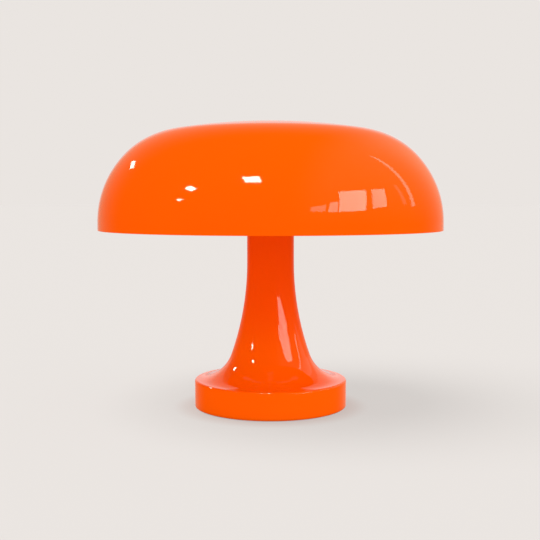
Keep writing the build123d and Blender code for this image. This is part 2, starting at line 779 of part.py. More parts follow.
def ring_on_axis(angle, start, end, outer, inner):
    """A plain sleeve on a lampholder's axis, from start to end outward from the lamp's axis."""
    with BuildPart() as sleeve:
        with BuildSketch(face_plane(angle, start)):
            Circle(outer)
            Circle(inner, mode=Mode.SUBTRACT)
        extrude(amount=end - start)
    return sleeve.part


def centre_contact(angle):
    """A sprung brass strip on the partition that presses on the bulb's tip."""
    base_line = socket_start + contact_thickness / 2
    top_line = contact_top - contact_thickness / 2
    with BuildPart() as strip:
        with BuildSketch(radial_plane(angle)):
            with BuildLine():
                Polyline(
                    (base_line, contact_width),
                    (base_line, -contact_width),
                    (top_line, -contact_width / 4),
                    (top_line, contact_width / 2),
                )
            trace(line_width=contact_thickness)
            with Locations((socket_start - holder_partition / 2, 0)):
                Rectangle(holder_partition, 2 * holder_partition, mode=Mode.SUBTRACT)
        extrude(amount=contact_width / 2, both=True)
    return strip.part


for side, angle in lamp_angles.items():
    save(lampholder(angle), f"lampholder_{side}")

with BuildPart() as holder_shells:
    for angle in lamp_angles.values():
        add(ring_on_axis(angle, shell_start, shell_end, shell_outer_radius, shell_inner_radius))
save(holder_shells.part, "holder_shells")

with BuildPart() as holder_contacts:
    for angle in lamp_angles.values():
        add(centre_contact(angle))
save(holder_contacts.part, "holder_contacts")

nipple_start = head_inner_half + head_wall - nipple_inner_length
with BuildPart() as nipples:
    for angle in lamp_angles.values():
        add(ring_on_axis(angle, nipple_start, chamber_start, pipe_radius, pipe_bore))
save(nipples.part, "nipples")

with BuildPart() as nipple_nuts:
    for angle in lamp_angles.values():
        with BuildSketch(face_plane(angle, head_inner_half)):
            RegularPolygon(nut_flats / 2, 6, major_radius=False)
            Circle(pipe_hole, mode=Mode.SUBTRACT)
        extrude(amount=-nipple_nut_thickness)
save(nipple_nuts.part, "nipple_nuts")

# ---------------------------------------------------------------- wires inside the lamp


def riser(side):
    """A wire from the block in the foot, through the pipe, to the block in the head."""
    with BuildPart() as wire:
        with BuildLine() as route:
            FilletPolyline(
                (side * wire_pair_offset, 0, head_terminal_bottom),
                (side * wire_pair_offset, 0, wire_run_height),
                (side * terminal_spacing / 2, base_terminal_distance * 0.75, wire_run_height),
                (side * terminal_spacing / 2, base_terminal_distance, wire_run_height),
                radius=[wire_bend_radius, 2 * wire_bend_radius],
            )
        with BuildSketch(Plane(origin=route.line @ 0, z_dir=route.line % 0)):
            Circle(wire_radius)
        sweep(path=route.line)
    return wire.part


def tails(side):
    """Four straight wires from the head's block through the nipples into the lampholders."""
    with BuildPart() as wires:
        for angle in lamp_angles.values():
            with BuildSketch(face_plane(angle, head_terminal_width / 2)):
                with Locations((side * tail_offset, 0)):
                    Circle(wire_radius)
            extrude(amount=partition_start - head_terminal_width / 2)
    return wires.part


save(riser(1), "live_riser")
save(riser(-1), "neutral_riser")
save(tails(1), "live_tails")
save(tails(-1), "neutral_tails")

# ---------------------------------------------------------------- bulbs


def bulb_form(angle, thickness_in, neck_radius):
    """The glass envelope's outer form, or its inside: neck, waist and globe."""
    waist_radius = bulb_neck_curve + thickness_in
    globe_radius = bulb_radius - thickness_in
    reach = bulb_radius + bulb_neck_curve
    rise = bulb_neck_radius + bulb_neck_curve
    waist_start = globe_centre - sqrt(reach**2 - rise**2)
    turn = 90 - degrees_of(rise / reach)
    with BuildPart() as form:
        with BuildSketch(radial_plane(angle)):
            with BuildLine():
                spigot = Line((cap_end - bulb_neck_spigot, 0), (cap_end - bulb_neck_spigot, neck_radius))
                spigot_side = Line(spigot @ 1, (cap_end + thickness_in, neck_radius))
                step = Line(spigot_side @ 1, (cap_end + thickness_in, bulb_neck_radius - thickness_in))
                neck = Line(step @ 1, (waist_start, bulb_neck_radius - thickness_in))
                waist = JernArc(neck @ 1, (1, 0), waist_radius, turn)
                globe = JernArc(waist @ 1, waist % 1, globe_radius, -90 - turn)
                Line(globe @ 1, spigot @ 0)
            make_face()
        revolve(axis=radial_axis(angle))
    return form.part


def degrees_of(sine):
    """The angle, in degrees, that has this sine."""
    return Vector(sqrt(1 - sine**2), sine).get_angle(Vector(1, 0))


def bulb_glass(angle):
    """A thin opal glass envelope, open at the neck where the cap closes it."""
    outer_neck = cap_thread_radius - bulb_cap_wall - bulb_thread_depth - assembly_gap
    with BuildPart() as glass:
        add(bulb_form(angle, 0, outer_neck))
        add(bulb_form(angle, bulb_wall, outer_neck - bulb_wall), mode=Mode.SUBTRACT)
    return glass.part


def bulb_cap(angle):
    """The screw cap, with thread rings, closed at the tip and bored for the glass neck."""
    bore = cap_thread_radius - bulb_cap_wall - bulb_thread_depth
    with BuildPart() as cap:
        with BuildSketch(radial_plane(angle)):
            with Locations(((cap_thread_start + cap_end) / 2, cap_thread_radius / 2)):
                Rectangle(cap_end - cap_thread_start, cap_thread_radius)
            with Locations((cap_end - bulb_neck_spigot / 2, bore / 2)):
                Rectangle(bulb_neck_spigot, bore, mode=Mode.SUBTRACT)
            for turn in range(bulb_thread_count):
                groove = cap_thread_start + (turn + 0.5) * bulb_thread_pitch
                with Locations((groove, cap_thread_radius)):
                    Rectangle(bulb_thread_pitch / 2, 2 * bulb_thread_depth, mode=Mode.SUBTRACT)
        revolve(axis=radial_axis(angle))
    return cap.part


def bulb_insulator(angle):
    """The black glass cone between the cap's shell and its centre contact."""
    with BuildPart() as cone:
        with BuildSketch(radial_plane(angle)):
            with BuildLine():
                Polyline(
                    (cap_start, 0),
                    (cap_start, bulb_insulator_tip_radius),
                    (cap_thread_start, cap_thread_radius - bulb_cap_wall),
                    (cap_thread_start, 0),
                    close=True,
                )
            make_face()
        revolve(axis=radial_axis(angle))
    return cone.part


def bulb_contact(angle):
    """The solder contact at the cap's tip."""
    with BuildPart() as contact:
        with BuildSketch(face_plane(angle, cap_start)):
            Circle(bulb_contact_radius)
        extrude(amount=-bulb_contact_height)
        tip = contact.faces().sort_by(lambda f: (f.center() - Vector(0, 0, lamp_axis_height)).length)[0]
        fillet(tip.edges(), bulb_contact_height / 2)
    return contact.part


for side, angle in lamp_angles.items():
    save(bulb_glass(angle), f"bulb_glass_{side}")
    save(bulb_cap(angle), f"bulb_cap_{side}")
    save(bulb_insulator(angle), f"bulb_insulator_{side}")
    save(bulb_contact(angle), f"bulb_contact_{side}")
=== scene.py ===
"""Mushroom table lamp: a glossy orange dome on a flared stem, with four small globe bulbs under it."""
import math

import bmesh
import bpy
from bpy.props import FloatProperty, FloatVectorProperty, IntProperty, PointerProperty
from mathutils import Euler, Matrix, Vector


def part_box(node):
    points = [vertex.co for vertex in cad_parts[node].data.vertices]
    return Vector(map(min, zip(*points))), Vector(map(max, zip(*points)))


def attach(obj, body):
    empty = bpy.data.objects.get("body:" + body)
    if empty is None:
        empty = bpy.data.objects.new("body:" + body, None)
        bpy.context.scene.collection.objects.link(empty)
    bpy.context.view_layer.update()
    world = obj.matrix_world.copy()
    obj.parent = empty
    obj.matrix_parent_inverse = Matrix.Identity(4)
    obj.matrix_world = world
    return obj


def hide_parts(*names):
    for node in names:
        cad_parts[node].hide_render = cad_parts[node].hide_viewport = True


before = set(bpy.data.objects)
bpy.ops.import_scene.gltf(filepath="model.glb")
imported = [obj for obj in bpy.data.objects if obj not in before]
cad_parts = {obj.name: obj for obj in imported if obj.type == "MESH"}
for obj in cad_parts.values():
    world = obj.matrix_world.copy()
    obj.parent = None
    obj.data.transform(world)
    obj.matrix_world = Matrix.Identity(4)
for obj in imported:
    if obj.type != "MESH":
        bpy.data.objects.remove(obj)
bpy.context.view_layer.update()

bl_info = {
    "name": "Mushroom Table Lamp",
    "version": (1, 0, 0),
    "blender": (4, 5, 0),
    "location": "View3D > Sidebar > Mushroom Lamp",
    "description": "Builds the shade, stem, lampholders, bulbs and studio of a mushroom table lamp",
    "category": "Add Mesh",
}

SIDES = {"right": 0.0, "back": 90.0, "left": 180.0, "front": 270.0}
WELD = 0.000001
ROUNDING_STEP = math.radians(12)
FORM_STEP = math.radians(2)
EDGE_HOLD = 0.0003
THREAD_FADE = 0.001
SHARP_EDGE = 38
SHARP_FOLD = 35
SEAT_HEIGHT = 0.014
# Divisions round the smaller turned pieces, by their width.
WIDE = 128
MIDDLE = 64
NARROW = 48
TINY = 40


def low(node):
    """Lowest corner of a CAD node."""
    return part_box(node)[0]


def high(node):
    """Highest corner of a CAD node."""
    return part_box(node)[1]


# ------------------------------------------------------------------ settings


def length(name, description, default):
    """A length property, in metres."""
    return FloatProperty(
        name=name, description=description, default=default, min=0.0, unit="LENGTH", precision=4
    )


def angle(name, description, degrees):
    """An angle property, given in degrees."""
    return FloatProperty(name=name, description=description, default=math.radians(degrees), subtype="ANGLE")


def number(name, description, default):
    """A plain level, zero or more."""
    return FloatProperty(name=name, description=description, default=default, min=0.0)


def colour(name, description, default):
    """A colour property, in linear light."""
    return FloatVectorProperty(
        name=name, description=description, default=default, subtype="COLOR", min=0.0, max=1.0
    )


def divisions(description, default):
    """How many divisions a turned piece has round its axis."""
    return IntProperty(name="Segments", description=description, default=default, min=16)


class LampShadeSettings(bpy.types.PropertyGroup):
    """Sizes of the dome."""

    radius: length("Radius", "Outer radius of the rim", high("shade").x)
    rim_height: length("Rim height", "Height of the rim above the table", low("shade").z)
    skirt_height: length("Skirt height", "Height of the upright band at the rim", 0.0072)
    side_radius: length("Side radius", "Radius of the arc above the skirt", 0.090)
    side_angle: angle("Side angle", "How far the side arc turns", 44.7)
    shoulder_radius: length("Shoulder radius", "Radius of the arc below the crown", 0.077)
    shoulder_angle: angle("Shoulder angle", "How far the shoulder arc turns", 35.5)
    wall: length("Wall", "Thickness of the moulding", 0.003)
    lip: length("Lip", "Rounding of the rim's edges", 0.0005)
    boss_radius: length("Boss radius", "Inner radius of the boss that drops over the carrier", 0.020)
    segments: divisions("Divisions round the dome", 256)


class LampStemSettings(bpy.types.PropertyGroup):
    """Sizes of the stem and foot."""

    foot_radius: length("Foot radius", "Outer radius of the round foot", high("stem_base").x)
    foot_height: length("Foot height", "Height of the foot's upper edge", 0.0266)
    foot_edge: length("Foot edge", "Rounding of the foot's upper edge", 0.002)
    foot_lower_edge: length("Foot lower edge", "Rounding of the foot's lower edge", 0.0012)
    stem_radius: length("Stem radius", "Outer radius of the stem's straight part", 0.0221)
    flare_radius: length("Flare radius", "Radius of the upper, gentle part of the flare", 0.260)
    flare_angle: angle("Flare angle", "How far the gentle part turns", 19.6)
    wall: length("Wall", "Thickness of the moulding", 0.003)
    segments: divisions("Divisions round the stem", 192)


class LampBulbSettings(bpy.types.PropertyGroup):
    """Sizes of the lampholders and bulbs."""

    globe_radius: length("Globe radius", "Radius of the glass globe", 0.0225)
    waist_radius: length("Waist radius", "Radius of the curve between neck and globe", 0.018)
    neck_radius: length("Neck radius", "Radius of the glass neck", 0.0069)
    thread_depth: length("Thread depth", "Depth of the rolled thread on the cap", 0.00035)
    thread_pitch: length("Thread pitch", "Pitch of the rolled thread", 0.0028)


class LampFinishSettings(bpy.types.PropertyGroup):
    """Colours of the finishes, and the deeper orange painted up the stem as shade."""

    orange: colour("Orange", "The glossy moulded plastic", (0.97, 0.104, 0.0003))
    orange_deep: colour("Orange, dense", "The same plastic, denser pigment", (0.94, 0.094, 0.0002))
    # Painted shade: a deeper orange laid up the stem, standing in for the shade's shadow and the orange
    # light its underside throws back; the plastic is the same.
    orange_painted_stem_shade: colour("Orange, stem", "The same plastic up the stem", (0.95, 0.076, 0.0002))
    cover: colour("Underside", "The satin plastic cover under the foot", (0.72, 0.075, 0.002))
    white: colour("White", "Heat-resistant moulding of the lampholders", (0.72, 0.70, 0.64))
    enamel: colour("Enamel", "White enamel of the lamp head", (0.80, 0.80, 0.77))
    glass: colour("Opal glass", "The bulbs' opal glass", (0.88, 0.87, 0.83))
    rubber: colour("Rubber", "Feet and cord grommet", (0.018, 0.018, 0.019))
    floor: colour("Floor", "Pale studio floor and backdrop", (0.823, 0.783, 0.752))


class LampStudioSettings(bpy.types.PropertyGroup):
    """Camera and light levels."""

    camera_distance: length("Camera distance", "How far in front of the stem the camera stands", 0.893)
    camera_height: length("Camera height", "Height of the camera above the table", 0.1938)
    camera_aside: length("Camera aside", "How far the camera stands to the left", 0.0005)
    camera_pitch: angle("Camera pitch", "How far the camera looks down", 4.15)
    camera_lens: number("Lens", "Focal length in millimetres", 63.42)
    sky_level: number("Sky level", "Strength of the even light", 1.2)
    key_level: number("Key level", "Strength of the soft key light", 0.6)
    window_level: number("Window level", "Brightness of the windows in the gloss", 22.0)
    front_gloss: number("Front gloss", "Brightness of the room in front, in the gloss", 0.04)
    back_gloss: number("Back gloss", "Brightness of the backdrop, in the gloss", 0.52)
    side_gloss: number("Side gloss", "Brightness of the room to the right, in the gloss", 0.72)
    bounce_level: number("Bounce", "How much light the floor sends back to the lamp", 1.2)
    shadow_share: number("Shadow share", "Share of the floor's light that the lamp can shade", 0.24)
    floor_response: number("Floor response", "How strongly the floor takes the lights", 0.04)
    floor_light_level: number("Floor light", "Strength of the light that casts the shadow", 16.6)


SETTINGS = {
    "lamp_shade": LampShadeSettings,
    "lamp_stem": LampStemSettings,
    "lamp_bulb": LampBulbSettings,
    "lamp_finish": LampFinishSettings,
    "lamp_studio": LampStudioSettings,
}


# ------------------------------------------------------------------ outlines


def arc(centre, radius, start, turn, spacing=ROUNDING_STEP):
    """Points of an arc about a centre (r, z), from one direction through a turn, all in radians."""
    steps = max(2, math.ceil(abs(turn) / spacing))
    points = []
    for step in range(steps + 1):
        direction = start + turn * step / steps
        points.append((centre[0] + radius * math.cos(direction), centre[1] + radius * math.sin(direction)))
    return points


def tangent_arc(start, heading, radius, turn):
    """Points of an arc that leaves start along a heading and turns left, or right when turn is negative."""
    side = math.copysign(math.pi / 2, turn)
    centre = (start[0] + radius * math.cos(heading + side), start[1] + radius * math.sin(heading + side))
    return arc(centre, radius, heading - side, turn, FORM_STEP)


def rounded(corners, closed=True):
    """An outline of (r, z, rounding) corners, with each corner rounded and its straights held flat."""
    points = []
    count = len(corners)
    for index in range(count):
        r, z, radius = corners[index]
        here = Vector((r, z))
        if not radius or (not closed and index in (0, count - 1)):
            points.append((r, z))
            continue
        before = Vector(corners[index - 1][:2])
        after = Vector(corners[(index + 1) % count][:2])
        inward = (before - here).normalized()
        outward = (after - here).normalized()
        half = inward.angle(outward) / 2
        reach = radius / math.tan(half)
        centre = here + (inward + outward).normalized() * (radius / math.sin(half))
        first = here + inward * reach
        last = here + outward * reach
        start = math.atan2(first.y - centre.y, first.x - centre.x)
        end = math.atan2(last.y - centre.y, last.x - centre.x)
        turn = (end - start + math.pi) % (2 * math.pi) - math.pi
        hold = min(radius, EDGE_HOLD)
        points.append(tuple(first + inward * hold))
        points.extend(arc(centre, radius, start, turn))
        points.append(tuple(last + outward * hold))
    return points


# ------------------------------------------------------------------ node trees


def add_node(tree, kind, inputs=(), **values):
    """A new node with its properties and inputs set; a socket as an input value is linked."""
    node = tree.nodes.new(kind)
    for name, value in values.items():
        setattr(node, name, value)
    for key, value in dict(inputs).items():
        if isinstance(value, bpy.types.NodeSocket):
            tree.links.new(value, node.inputs[key])
        else:
            node.inputs[key].default_value = value
    return node


def maths(tree, operation, *values):
    """The result socket of a Math node."""
    return add_node(tree, "ShaderNodeMath", dict(enumerate(values)), operation=operation).outputs[0]


def ramp(tree, value, start, end, low_value, high_value, blend="SMOOTHSTEP"):
    """A value that goes from one level to another between two stops."""
    stops = {"Value": value, "From Min": start, "From Max": end, "To Min": low_value, "To Max": high_value}
    return add_node(tree, "ShaderNodeMapRange", stops, interpolation_type=blend).outputs[0]


def mixed(tree, share, first, second):
    """The result of mixing a second colour into a first one by a share."""
    colours = {"Factor": share, 6: first, 7: second}
    return add_node(tree, "ShaderNodeMix", colours, data_type="RGBA").outputs[2]


def add_input(tree, name, kind, default=None):
    """A named input of a geometry tree."""
    socket = tree.interface.new_socket(name, in_out="INPUT", socket_type=kind)
    if default is not None:
        socket.default_value = default
    return socket


def finished_tree(tree, geometry, material):
    """Ends a geometry tree: its instances made real and its material set."""
    real = add_node(tree, "GeometryNodeRealizeInstances", {"Geometry": geometry}).outputs[0]
    painted = add_node(tree, "GeometryNodeSetMaterial", {"Geometry": real, "Material": material}).outputs[0]
    add_node(tree, "NodeGroupOutput", {0: painted})
    return tree


def thread_change(tree, given, parts, bearing):
    """How far a helical thread draws the surface in, between its two heights on the marked points."""
    phase = maths(tree, "MULTIPLY", maths(tree, "DIVIDE", parts["Z"], given["Thread Pitch"]), 2 * math.pi)
    helix = maths(tree, "SUBTRACT", phase, bearing)
    wave = maths(tree, "SUBTRACT", maths(tree, "MULTIPLY", maths(tree, "SINE", helix), 0.5), 0.5)
    above = maths(tree, "DIVIDE", maths(tree, "SUBTRACT", parts["Z"], given["Thread Start"]), THREAD_FADE)
    below = maths(tree, "DIVIDE", maths(tree, "SUBTRACT", given["Thread End"], parts["Z"]), THREAD_FADE)
    faded = add_node(tree, "ShaderNodeClamp", {0: maths(tree, "MINIMUM", above, below)}).outputs[0]
    depth = maths(tree, "MULTIPLY", maths(tree, "MULTIPLY", wave, given["Thread Depth"]), faded)
    return maths(tree, "MULTIPLY", depth, maths(tree, "GREATER_THAN", parts["Y"], 0.0))


def turned_tree():
    """Turns an outline in the XZ plane about Z, with a helical thread where one is asked for."""
    tree = bpy.data.node_groups.new("turned_form", "GeometryNodeTree")
    add_input(tree, "Outline", "NodeSocketGeometry")
    add_input(tree, "Segments", "NodeSocketInt", MIDDLE)
    add_input(tree, "Thread Depth", "NodeSocketFloat", 0.0)
    add_input(tree, "Thread Pitch", "NodeSocketFloat", 1.0)
    add_input(tree, "Thread Start", "NodeSocketFloat", 0.0)
    add_input(tree, "Thread End", "NodeSocketFloat", 0.0)
    add_input(tree, "Turn", "NodeSocketRotation")
    add_input(tree, "Place", "NodeSocketVector")
    add_input(tree, "Material", "NodeSocketMaterial")
    tree.interface.new_socket("Geometry", in_out="OUTPUT", socket_type="NodeSocketGeometry")
    given = tree.nodes.new("NodeGroupInput").outputs
    domain = add_node(tree, "GeometryNodeAttributeDomainSize", {"Geometry": given["Outline"]})
    count = domain.outputs["Point Count"]
    columns = maths(tree, "ADD", given["Segments"], 1.0)
    sizes = {"Size X": 1.0, "Size Y": 1.0, "Vertices X": count, "Vertices Y": columns}
    grid = add_node(tree, "GeometryNodeMeshGrid", sizes)
    index = add_node(tree, "GeometryNodeInputIndex").outputs[0]
    row = maths(tree, "FLOOR", maths(tree, "DIVIDE", maths(tree, "ADD", index, 0.5), columns))
    column = maths(tree, "SUBTRACT", index, maths(tree, "MULTIPLY", row, columns))
    place = add_node(tree, "GeometryNodeInputPosition").outputs[0]
    outline = add_node(
        tree,
        "GeometryNodeSampleIndex",
        {"Geometry": given["Outline"], "Value": place, "Index": row},
        data_type="FLOAT_VECTOR",
        domain="POINT",
    )
    parts = add_node(tree, "ShaderNodeSeparateXYZ", {0: outline.outputs[0]}).outputs
    bearing = maths(tree, "MULTIPLY", maths(tree, "DIVIDE", column, given["Segments"]), 2 * math.pi)
    radius = maths(tree, "ADD", parts["X"], thread_change(tree, given, parts, bearing))
    axes = {
        "X": maths(tree, "MULTIPLY", radius, maths(tree, "COSINE", bearing)),
        "Y": maths(tree, "MULTIPLY", radius, maths(tree, "SINE", bearing)),
        "Z": parts["Z"],
    }
    point = add_node(tree, "ShaderNodeCombineXYZ", axes).outputs[0]
    values = {"Geometry": grid.outputs["Mesh"], "Position": point}
    moved = add_node(tree, "GeometryNodeSetPosition", values).outputs[0]
    values = {"Geometry": moved, "Distance": WELD}
    welded = add_node(tree, "GeometryNodeMergeByDistance", values).outputs[0]
    values = {"Geometry": welded, "Shade Smooth": True}
    smooth = add_node(tree, "GeometryNodeSetShadeSmooth", values).outputs[0]
    values = {"Geometry": smooth, "Rotation": given["Turn"], "Translation": given["Place"]}
    turned_form = add_node(tree, "GeometryNodeTransform", values).outputs[0]
    return finished_tree(tree, turned_form, given["Material"])


def ring_tree():
    """Repeats one small piece at even steps round a circle."""
    tree = bpy.data.node_groups.new("repeat_on_circle", "GeometryNodeTree")
    add_input(tree, "Piece", "NodeSocketGeometry")
    add_input(tree, "Count", "NodeSocketInt", 4)
    add_input(tree, "Circle Radius", "NodeSocketFloat", 0.05)
    add_input(tree, "Start Angle", "NodeSocketFloat", 0.0)
    add_input(tree, "Height", "NodeSocketFloat", 0.0)
    add_input(tree, "Material", "NodeSocketMaterial")
    tree.interface.new_socket("Geometry", in_out="OUTPUT", socket_type="NodeSocketGeometry")
    given = tree.nodes.new("NodeGroupInput").outputs
    points = add_node(tree, "GeometryNodePoints", {"Count": given["Count"]}).outputs[0]
    index = add_node(tree, "GeometryNodeInputIndex").outputs[0]
    step = maths(tree, "DIVIDE", 2 * math.pi, given["Count"])
    bearing = maths(tree, "ADD", maths(tree, "MULTIPLY", index, step), given["Start Angle"])
    place = add_node(
        tree,
        "ShaderNodeCombineXYZ",
        {
            "X": maths(tree, "MULTIPLY", maths(tree, "COSINE", bearing), given["Circle Radius"]),
            "Y": maths(tree, "MULTIPLY", maths(tree, "SINE", bearing), given["Circle Radius"]),
            "Z": given["Height"],
        },
    ).outputs[0]
    set_out = add_node(tree, "GeometryNodeSetPosition", {"Geometry": points, "Position": place}).outputs[0]
    turn = add_node(tree, "ShaderNodeCombineXYZ", {"Z": bearing}).outputs[0]
    copies = add_node(
        tree,
        "GeometryNodeInstanceOnPoints",
        {"Points": set_out, "Instance": given["Piece"], "Rotation": turn},
    ).outputs[0]
    return finished_tree(tree, copies, given["Material"])


def tree_named(name, builder):
    """The geometry tree of that name, built the first time it is asked for."""
    return bpy.data.node_groups.get(name) or builder()


def grown(obj, tree, values, name):
    """Runs a geometry tree on an object and returns its result as a plain mesh object."""
    modifier = obj.modifiers.new(tree.name, "NODES")
    modifier.node_group = tree
    for item in tree.interface.items_tree:
        if item.item_type == "SOCKET" and item.in_out == "INPUT" and item.name in values:
            modifier[item.identifier] = values[item.name]
    bpy.context.view_layer.update()
    evaluated = obj.evaluated_get(bpy.context.evaluated_depsgraph_get())
    mesh = bpy.data.meshes.new_from_object(evaluated)
    obj.modifiers.remove(modifier)
    bpy.data.objects.remove(obj)
    mesh.name = name
    result = bpy.data.objects.new(name, mesh)
    bpy.context.scene.collection.objects.link(result)
    if not mesh.polygons:
        raise RuntimeError(f"{name} came out empty")
    return result


def outward(obj):
    """Turns every face of a closed shell outwards and checks that no edge is left open."""
    shape = bmesh.new()
    shape.from_mesh(obj.data)
    bmesh.ops.recalc_face_normals(shape, faces=shape.faces)
    if any(not edge.is_manifold for edge in shape.edges):
        raise RuntimeError(f"{obj.name} isn't closed")
    if shape.calc_volume(signed=True) < 0:
        bmesh.ops.reverse_faces(shape, faces=shape.faces)
    shape.to_mesh(obj.data)
    shape.free()
    return obj


# ------------------------------------------------------------------ building blocks


def outline_object(points, marked=()):
    """An object whose mesh holds an outline's points; marked points can carry a thread."""
    mesh = bpy.data.meshes.new("outline")
    vertices = [(r, 1.0 if index in marked else 0.0, z) for index, (r, z) in enumerate(points)]
    edges = [(index, index + 1) for index in range(len(points) - 1)]
    mesh.from_pydata(vertices, edges, [])
    obj = bpy.data.objects.new("outline", mesh)
    bpy.context.scene.collection.objects.link(obj)
    return obj


def turned(name, points, material, segments=MIDDLE, closed=True, side=None, height=0.0, marked=(), **extra):
    """A turned piece. With a side, its axis is that side's lampholder axis, and z runs outward."""
    outline = list(points)
    if closed:
        outline.append(outline[0])
    values = {"Segments": segments, "Material": material}
    if side is not None:
        values["Turn"] = Euler((0.0, math.pi / 2, math.radians(SIDES[side])))
    values["Place"] = (0.0, 0.0, height)
    values.update(extra)
    tree = tree_named("turned_form", turned_tree)
    return outward(grown(outline_object(outline, marked), tree, values, name))


def crisp(name, outline, material, sharp=SHARP_EDGE, closed=False, **place):
    """A turned piece whose edges stay crisp."""
    piece = turned(name, outline, material, closed=closed, **place)
    smooth_by_angle(piece, sharp)
    return piece


def drill(radius, start, end, material, segments, **place):
    """A closed cylinder on the axis, to cut a round hole with."""
    outline = [(0.0, start), (radius, start), (radius, end), (0.0, end)]
    return turned("drill", outline, material, segments=segments, closed=False, **place)


def repeated(name, piece, count, radius, start, height, material):
    """Copies of a small piece round the lamp's axis, as one mesh."""
    values = {
        "Count": count,
        "Circle Radius": radius,
        "Start Angle": math.radians(start),
        "Height": height,
        "Material": material,
    }
    return grown(piece, tree_named("repeat_on_circle", ring_tree), values, name)


def rounded_square(half, corner, z, steps=6):
    """Points of a square with rounded corners, at one height."""
    points = []
    for quarter in range(4):
        middle = math.radians(45 + 90 * quarter)
        centre_x = math.copysign(half - corner, math.cos(middle))
        centre_y = math.copysign(half - corner, math.sin(middle))
        for step in range(steps + 1):
            bearing = math.radians(90 * quarter + 90 * step / steps)
            points.append((centre_x + corner * math.cos(bearing), centre_y + corner * math.sin(bearing), z))
    return points


def stacked(name, loops, material):
    """A closed shell through a stack of loops with the same number of points, capped at both ends."""
    shape = bmesh.new()
    rings = [[shape.verts.new(point) for point in loop] for loop in loops]
    for lower, upper in zip(rings, rings[1:]):
        for index in range(len(lower)):
            following = (index + 1) % len(lower)
            shape.faces.new((lower[index], lower[following], upper[following], upper[index]))
    shape.faces.new(list(reversed(rings[0])))
    shape.faces.new(rings[-1])
    mesh = bpy.data.meshes.new(name)
    shape.to_mesh(mesh)
    shape.free()
    obj = bpy.data.objects.new(name, mesh)
    bpy.context.scene.collection.objects.link(obj)
    mesh.materials.append(material)
    outward(obj)
    smooth_by_angle(obj, SHARP_FOLD)
    return obj


def smooth_by_angle(obj, degrees):
    """Shades a mesh smooth and keeps the edges that turn more than this sharp."""
    shape = bmesh.new()
    shape.from_mesh(obj.data)
    for face in shape.faces:
        face.smooth = True
    for edge in shape.edges:
        if len(edge.link_faces) == 2:
            edge.smooth = edge.calc_face_angle(0.0) < math.radians(degrees)
    shape.to_mesh(obj.data)
    shape.free()


def settle(obj, body, slot, *nodes):
    """Rides a finished piece on its body and hides the nodes it stands for; the slot it is given is not
    used.
    """
    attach(obj, body)
    if nodes:
        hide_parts(*nodes)
    return obj


# ------------------------------------------------------------------ finishes


TONE_SCALE = 12.0
TONE_DETAIL = 3.0
WEAR_SCALE = 45.0
WEAR_DETAIL = 6.0
WEAR_HARSHNESS = 0.6
WEAR_BAND = (0.3, 0.7)
RELIEF_DETAIL = 2.0


def finish_material(name, base, deep, roughness, grain, relief, metallic=0.0, **sockets):
    """A finish with drifting tone, uneven gloss and a fine relief, all on Object coordinates.

    roughness is the (smoothest, roughest) value, grain the relief's size in metres and relief its height.
    """
    material = bpy.data.materials.new(name)
    material.use_nodes = True
    tree = material.node_tree
    shader = tree.nodes["Principled BSDF"]
    shader.inputs["Metallic"].default_value = metallic
    for socket, value in sockets.items():
        shader.inputs[socket.replace("_", " ")].default_value = value
    place = add_node(tree, "ShaderNodeTexCoord").outputs["Object"]
    values = {"Vector": place, "Scale": TONE_SCALE, "Detail": TONE_DETAIL}
    tone = add_node(tree, "ShaderNodeTexNoise", values)
    blend = mixed(tree, tone.outputs["Fac"], (*deep, 1.0), (*base, 1.0))
    tree.links.new(blend, shader.inputs["Base Color"])
    values = {"Vector": place, "Scale": WEAR_SCALE, "Detail": WEAR_DETAIL, "Roughness": WEAR_HARSHNESS}
    wear = add_node(tree, "ShaderNodeTexNoise", values)
    gloss = ramp(tree, wear.outputs["Fac"], *WEAR_BAND, *roughness, "LINEAR")
    tree.links.new(gloss, shader.inputs["Roughness"])
    values = {"Vector": place, "Scale": 1.0 / grain, "Detail": RELIEF_DETAIL}
    fine = add_node(tree, "ShaderNodeTexNoise", values)
    height = fine.outputs["Fac"]
    bump = add_node(tree, "ShaderNodeBump", {"Strength": 1.0, "Distance": relief, "Height": height})
    tree.links.new(bump.outputs[0], shader.inputs["Normal"])
    return material


def dimmed(tint, share):
    """A colour brought down to a share of itself."""
    return tuple(value * share for value in tint)


